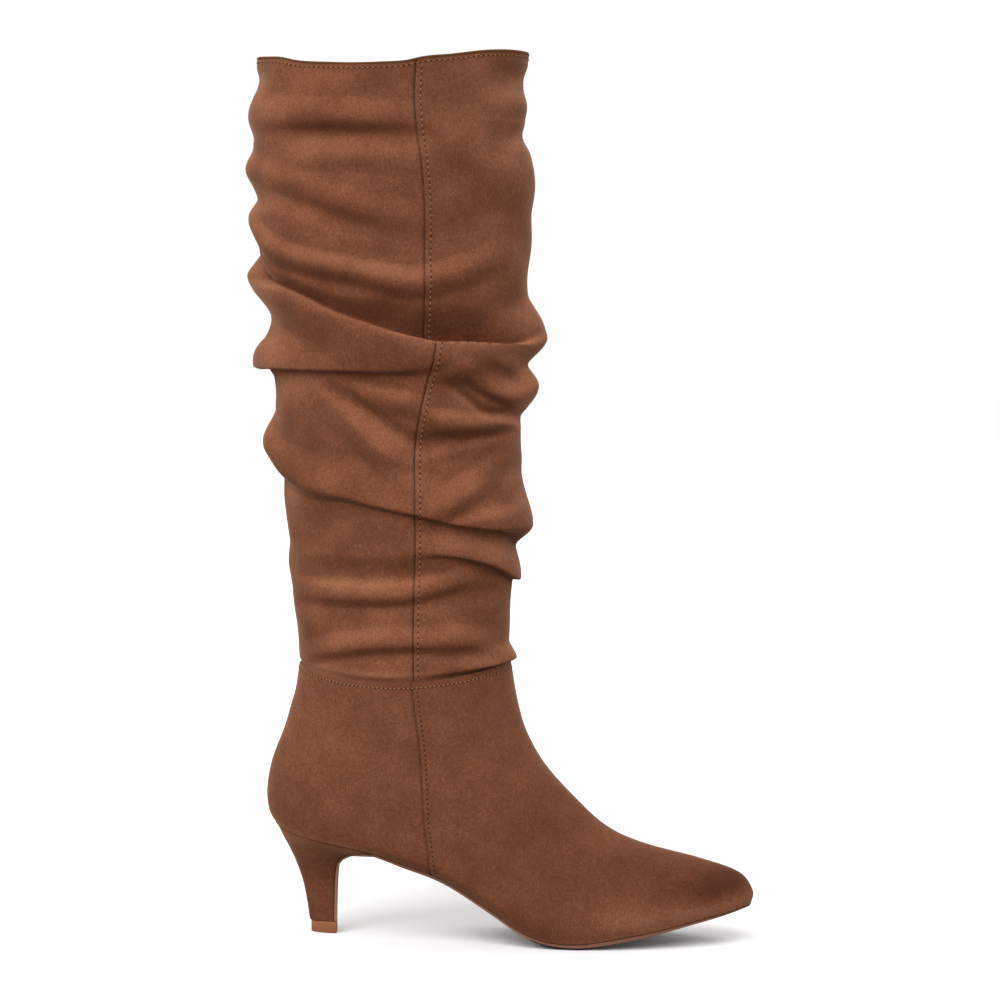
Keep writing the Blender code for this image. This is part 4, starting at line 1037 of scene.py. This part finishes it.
for row in STITCH_ROWS:
    stands_for = "shaft" if row.surface is shaft_surface else "upper"
    stitches = copy_along(row.name + "_stitches", row, shift=0.0, size=STITCH_SIZE, lift=STITCH_LIFT)
    dress(stitches, row.thread, stands_for)
    # The needle holes are dark grains: painted shade where the thread goes into the suede.
    holes = copy_along(row.name + "_needle_hole_shades", row, shift=0.5, size=HOLE_SIZE, lift=HOLE_LIFT)
    dress(holes, needle_hole_shade, stands_for)

# Outsole
# One thin moulded sheet runs under the foot from the toe through the waist and turns down the heel's breast as a
# flap. It is glued on, and its edge is left bare and is a little paler than the suede.
GAP = 0.4
SOLE_INSET, SOLE_THICK, SOLE_CROWDING = 0.5, 2.0, 0.4
BREAST_SLANT, SLANT_TO_X, STRAIGHT_FROM_X = 0.17, 43, 54
TREAD_THICK = 0.9
SOLE_COLUMNS, SOLE_ROWS, FLAP_ROWS = 24, 120, 40
SOLE_BROWN = (0.19, 0.078, 0.043)
FLAP_PALE = (0.37, 0.17, 0.10)
FLAP_FRONT_X = 43.0
FlapRow = namedtuple("FlapRow", "x z half middle")
FLAP_LINE = table(
    FlapRow,
    (64.0, 46.9, 26.6, -1.50), (57.5, 46.8, 26.2, -0.80), (50.0, 46.2, 23.4, 0.0), (45.0, 44.9, 20.4, 0.0),
    (40.9, 42.3, 17.4, 0.0), (38.9, 38.6, 14.8, 0.0), (38.0, 34.0, 12.4, 0.0), (37.4, 27.0, 10.0, 0.0),
    (37.1, 17.0, 7.9, 0.0), (36.9, 6.6, 6.6, 0.0),
)

# The sheet's thickness along the boot: thin down the breast and through the waist, full at the ball
EdgeRow = namedtuple("EdgeRow", "x thick")
SOLE_EDGE = table(
    EdgeRow,
    (35.0, 1.2), (64.0, 1.15), (92.0, 1.5), (118.0, 1.25), (140.0, 1.2), (157.0, 1.3), (172.0, 1.7), (200.0, 1.9),
    (225.0, 1.4), (250.0, 0.9), (262.0, 0.4),
)


def sole_thickness(x):
    return read_table(SOLE_EDGE, "thick", x, "x")


def breast_slant(x, y):
    """How much further forward the heel's breast stands on the outer side than on the inner."""
    return -y * BREAST_SLANT * (1 - ease(x, SLANT_TO_X, STRAIGHT_FROM_X))


def outsole_line():
    """x, z, outer half and inner half along the sheet's inner face, from the toe to the breast's foot."""
    steps = np.linspace(0, 1, SOLE_ROWS)
    toe_x = RINGS[0].front_x - SOLE_INSET
    x = toe_x + (WAIST_END_X - toe_x) * (steps - SOLE_CROWDING * steps * (1 - steps))
    outer, inner = feather_halves(x, SOLE_INSET)
    down = np.linspace(0, 1, FLAP_ROWS + 1)[1:]
    flap = read_row(FLAP_LINE, down)
    flap = [flap.x, flap.z, flap.half - flap.middle, flap.half + flap.middle]
    return [np.concatenate(pair) for pair in zip([x, sole_height(x) - GAP, outer, inner], flap)]


def outsole_surface(u, v):
    x, z, outer, inner = outsole_line()
    row = np.rint(v * (len(x) - 1)).astype(int)
    across = 2 * u - 1
    y = toe_swing(x[row]) + np.where(across < 0, outer[row], inner[row]) * across
    forward = x[row] + breast_slant(x[row], y)
    return np.stack([forward, y, z[row] - dome(across) * tread_share(x[row])], axis=1)


outsole = lay_grid("outsole_sheet", SOLE_COLUMNS, SOLE_ROWS + FLAP_ROWS - 1, outsole_surface)
thin = outsole.vertex_groups.new(name="thickness")
for vert in outsole.data.vertices:
    thick = float(sole_thickness((vert.co.x - heel_back_x) / MILLIMETRE))
    thin.add([vert.index], thick / SOLE_THICK, "REPLACE")
apply_modifier(
    outsole, "SOLIDIFY", thickness=SOLE_THICK * MILLIMETRE, offset=-1, use_even_offset=True, vertex_group="thickness"
)
edit_all(outsole, FACE_OUT)
for vert in outsole.data.vertices:
    vert.co.z = max(vert.co.z, TREAD_THICK * MILLIMETRE)
shade(outsole)
dress(outsole, plain_material("sole_edge", SOLE_BROWN, roughness=0.55), "outsole")
outsole.data.materials.append(plain_material("flap_edge", FLAP_PALE, roughness=0.55))
for face in outsole.data.polygons:
    face.material_index = int(face.center.x - heel_back_x < FLAP_FRONT_X * MILLIMETRE)

# Tread
# A thin patch of black rubber is glued into the sole under the ball, where the boot stands. From the side only its
# edge shows.
TREAD_BLACK = (0.012, 0.010, 0.009)
TREAD_FIRST_X, TREAD_LAST_X, TREAD_INSET = 146.0, 182.0, 0.7
TREAD_CORNER, TREAD_CORNER_POWER, TREAD_BITE = 6, 6, 0.1
TREAD_COLUMNS, TREAD_ROWS = 72, 24


def tread_surface(u, v):
    x = TREAD_FIRST_X + (TREAD_LAST_X - TREAD_FIRST_X) * u
    outer, inner = feather_halves(x, SOLE_INSET)
    across = 2 * v - 1
    trim = TREAD_INSET + TREAD_CORNER * np.abs(2 * u - 1) ** TREAD_CORNER_POWER
    y = toe_swing(x) + (np.where(across < 0, outer, inner) - trim) * across
    slope = sole_height(x + 0.5) - sole_height(x - 0.5)
    low = sole_height(x) - GAP - dome(across) - sole_thickness(x) * np.hypot(1, slope)
    return np.stack([x, y, np.maximum(low + TREAD_BITE, TREAD_THICK + TREAD_BITE)], axis=1)


tread = lay_grid("tread", TREAD_COLUMNS, TREAD_ROWS, tread_surface)
give_wall(tread, TREAD_THICK + TREAD_BITE)
for vert in tread.data.vertices:
    vert.co.z = max(vert.co.z, 0)
shade(tread)
dress(tread, plain_material("tread_rubber", TREAD_BLACK, roughness=0.6), "outsole")

# Heel
# A moulded heel block covered with the same suede, its cover pulled tight and tucked under the flap on the breast.
# It is screwed up into the seat through the insole.
HEEL_COLUMNS, HEEL_BREAST_COLUMNS, HEEL_ROWS = 104, 8, 60
# As on the suede, the heel's dark and pale tones serve both random nap and the painted shade and light.
HEEL_DARK_NAP_AND_SHADE = (0.066, 0.0197, 0.0085)
HEEL_MID = (0.139, 0.046, 0.0214)
HEEL_PALE_NAP_AND_LIT = (0.267, 0.101, 0.051)
HEEL_FLUSH, SEAT_TAPER, SEAT_TO_FLAP, ON_BREAST = 0.2, 0.1, 0.85, 0.9999
# Painted light under the seat, and painted shade along the seat's seam and beside the flap.
SEAT_PAINTED_LIGHT, SEAT_PALE_FROM, SEAT_PALE_TO = 0.6, 0.15, 0.6
FLAP_PAINTED_SHADE, FLAP_DARK_FROM, FLAP_DARK_TO = 1.6, 0.95, 0.985
SEAT_PAINTED_SHADE, SEAT_DARK_TO = 2.0, 0.035
HeelRow = namedtuple("HeelRow", "back_x back_z power")
HEEL_SECTIONS = table(
    HeelRow,
    (4.7, 60.2, 2.6), (6.7, 56.9, 2.6), (9.0, 52.1, 2.6), (11.0, 48.4, 2.5), (13.7, 43.0, 2.5), (15.6, 38.6, 2.4),
    (17.4, 33.8, 2.3), (19.6, 27.0, 2.2), (21.6, 17.0, 2.2), (23.2, 6.5, 2.2),
)


def horseshoe(u, back_x, front_x, half, power):
    """x and y round a section with a round back and a straight front, and the share of the way there."""
    round_share = 1 - HEEL_BREAST_COLUMNS / HEEL_COLUMNS
    sweep = np.round(np.clip(u / round_share, 0, 1) * 2 - 1, 4)
    share = 1 - np.cos(sweep * math.pi / 2)
    side = np.sign(sweep) * half * (1 - (1 - share) ** power) ** 0.5
    breast = np.clip((u - round_share) / (1 - round_share), 0, 1)
    y = np.where(u > round_share, half * (1 - 2 * breast), side)
    x = back_x + (front_x - back_x + breast_slant(front_x, y)) * share
    return x, y, share


def heel_surface(u, v):
    """Each section runs from the back line to the flap; the topmost takes the outline of the upper's bottom edge."""
    back = read_row(HEEL_SECTIONS, v)
    front = read_row(FLAP_LINE, v)
    x, y, share = horseshoe(u, back.back_x, front.x, front.half, back.power)
    y = y + front.middle * share
    z = back.back_z + (front.z - back.back_z) * share
    near_seat = 1 - ease(v, 0, SEAT_TAPER)
    outer, inner = feather_halves(x, HEEL_FLUSH)
    across = np.where(share < ON_BREAST, np.sign(y), y / front.half)
    flush = np.clip(across, -1, 1) * np.where(y < 0, outer, inner)
    z += (sole_height(x) - GAP - z) * near_seat * (1 - ease(share, SEAT_TO_FLAP, 1))
    return np.stack([x, y + (flush - y) * near_seat, z], axis=1)


def paint_heel_light(piece):
    """Paints light and shade into the cover's colour: painted light under the seat, painted shade along the seat's
    seam and beside the flap.
    """
    u = np.tile(np.linspace(0, 1, HEEL_COLUMNS + 1), HEEL_ROWS + 1)
    v = np.repeat(np.linspace(0, 1, HEEL_ROWS + 1), HEEL_COLUMNS + 1)
    share = horseshoe(u, 0, 1, 1, 2)[2]
    painted_light = SEAT_PAINTED_LIGHT * (1 - ease(v, SEAT_PALE_FROM, SEAT_PALE_TO))
    painted_light -= FLAP_PAINTED_SHADE * ease(share, FLAP_DARK_FROM, FLAP_DARK_TO)
    painted_light -= SEAT_PAINTED_SHADE * (1 - ease(v, 0, SEAT_DARK_TO))
    mark_painted_light(piece, painted_light)


def close_tube(piece):
    """Sews a grid's two sides together, caps its ends and turns its faces outward."""
    edit_all(piece, SEW_SIDES, (bpy.ops.mesh.fill_holes, {"sides": 0}), FACE_OUT)


heel = lay_grid("heel_cover", HEEL_COLUMNS, HEEL_ROWS, heel_surface)
paint_heel_light(heel)
close_tube(heel)
shade(heel)
dress(heel, suede_material("heel_suede", HEEL_DARK_NAP_AND_SHADE, HEEL_MID, HEEL_PALE_NAP_AND_LIT), "heel")

# Top lift
# The heel's wearing tip is a small tan block of moulded rubber. It is pinned to the heel's end, and its edges are
# slightly rounded.
LIFT_HEIGHT, LIFT_ROUNDING = 6.2, 0.45
LIFT_BACK_X, LIFT_FRONT_X, LIFT_HALF, LIFT_POWER = 24.0, 38.1, 6.8, 2.2
LIFT_TAN = (0.29, 0.098, 0.039)


def lift_surface(u, v):
    x, y, _ = horseshoe(u, LIFT_BACK_X, LIFT_FRONT_X, LIFT_HALF, LIFT_POWER)
    return np.stack([x, y, v * LIFT_HEIGHT], axis=1)


lift = lay_grid("top_lift", HEEL_COLUMNS, 1, lift_surface)
close_tube(lift)
apply_modifier(lift, "BEVEL", width=LIFT_ROUNDING * MILLIMETRE, segments=3)
shade(lift)
dress(lift, plain_material("lift_tan", LIFT_TAN, roughness=0.5), "heel_tip")

# Floor, light and camera
# A plain pale floor under soft studio light, seen from the boot's outer side a little ahead of square. The floor and
# the room are white to the eye but send only some light back, as in a studio with dark sides.
FLOOR_HALF = 12.0
FLOOR_WHITE, FLOOR_RETURN = 0.95, 0.30
ROOM_WHITE, ROOM_GLOW = 1.0, 0.45


def white_to_the_eye(tree, seen, sent):
    """A value that is "seen" when looked at directly and "sent" for the light that goes on from there."""
    ray = tree.nodes.new("ShaderNodeLightPath")
    choose = tree.nodes.new("ShaderNodeMix")
    choose.inputs[2].default_value = sent
    choose.inputs[3].default_value = seen
    tree.links.new(ray.outputs["Is Camera Ray"], choose.inputs[0])
    return choose.outputs[0]


bpy.ops.object.select_all(action="DESELECT")
bpy.ops.mesh.primitive_plane_add(size=2 * FLOOR_HALF)
floor = bpy.context.object
floor.name = "floor"
floor_material = new_material("pale_floor", {"Roughness": 0.9, "Specular IOR Level": 0.0})
floor_tree = floor_material.node_tree
floor_tone = white_to_the_eye(floor_tree, FLOOR_WHITE, FLOOR_RETURN)
floor_tree.links.new(floor_tone, floor_tree.nodes["Principled BSDF"].inputs["Base Color"])
floor.data.materials.append(floor_material)

room = bpy.data.worlds.new("studio")
bpy.context.scene.world = room
room.use_nodes = True
backdrop = room.node_tree.nodes["Background"]
backdrop.inputs["Color"].default_value = (1, 1, 1, 1)
room_tone = white_to_the_eye(room.node_tree, ROOM_WHITE, ROOM_GLOW)
room.node_tree.links.new(room_tone, backdrop.inputs["Strength"])


def soft_sun(name, azimuth, elevation, spread, strength):
    """A very wide soft lamp far off: azimuth from the camera's side towards the toe, in degrees."""
    data = bpy.data.lights.new(name, "SUN")
    data.angle = math.radians(spread)
    data.energy = strength * math.pi
    lamp = bpy.data.objects.new(name, data)
    bpy.context.scene.collection.objects.link(lamp)
    lamp.rotation_euler = (math.radians(90 - elevation), 0, math.radians(azimuth))


soft_sun("key", azimuth=-18, elevation=45, spread=60, strength=0.95)
soft_sun("back_fill", azimuth=160, elevation=40, spread=80, strength=0.30)
soft_sun("toe_side_rim", azimuth=118, elevation=8, spread=50, strength=0.50)
soft_sun("heel_side_rim", azimuth=-118, elevation=8, spread=50, strength=0.35)

VIEW_AIM = (0.0012, 0.0, 0.235)
VIEW_DISTANCE = 1.5
SENSOR_WIDTH, LENS = 36, 100.9
VIEW_AZIMUTH, VIEW_ELEVATION = math.radians(8.5), math.radians(2.5)
camera_data = bpy.data.cameras.new("camera")
camera_data.sensor_width = SENSOR_WIDTH
camera_data.lens = LENS
camera = bpy.data.objects.new("camera", camera_data)
bpy.context.scene.collection.objects.link(camera)
camera.location = (
    VIEW_AIM[0] + VIEW_DISTANCE * math.sin(VIEW_AZIMUTH) * math.cos(VIEW_ELEVATION),
    VIEW_AIM[1] - VIEW_DISTANCE * math.cos(VIEW_AZIMUTH) * math.cos(VIEW_ELEVATION),
    VIEW_AIM[2] + VIEW_DISTANCE * math.sin(VIEW_ELEVATION),
)
camera.rotation_euler = (math.pi / 2 - VIEW_ELEVATION, 0, VIEW_AZIMUTH)
bpy.context.scene.camera = camera
bpy.context.scene.view_settings.view_transform = "Standard"
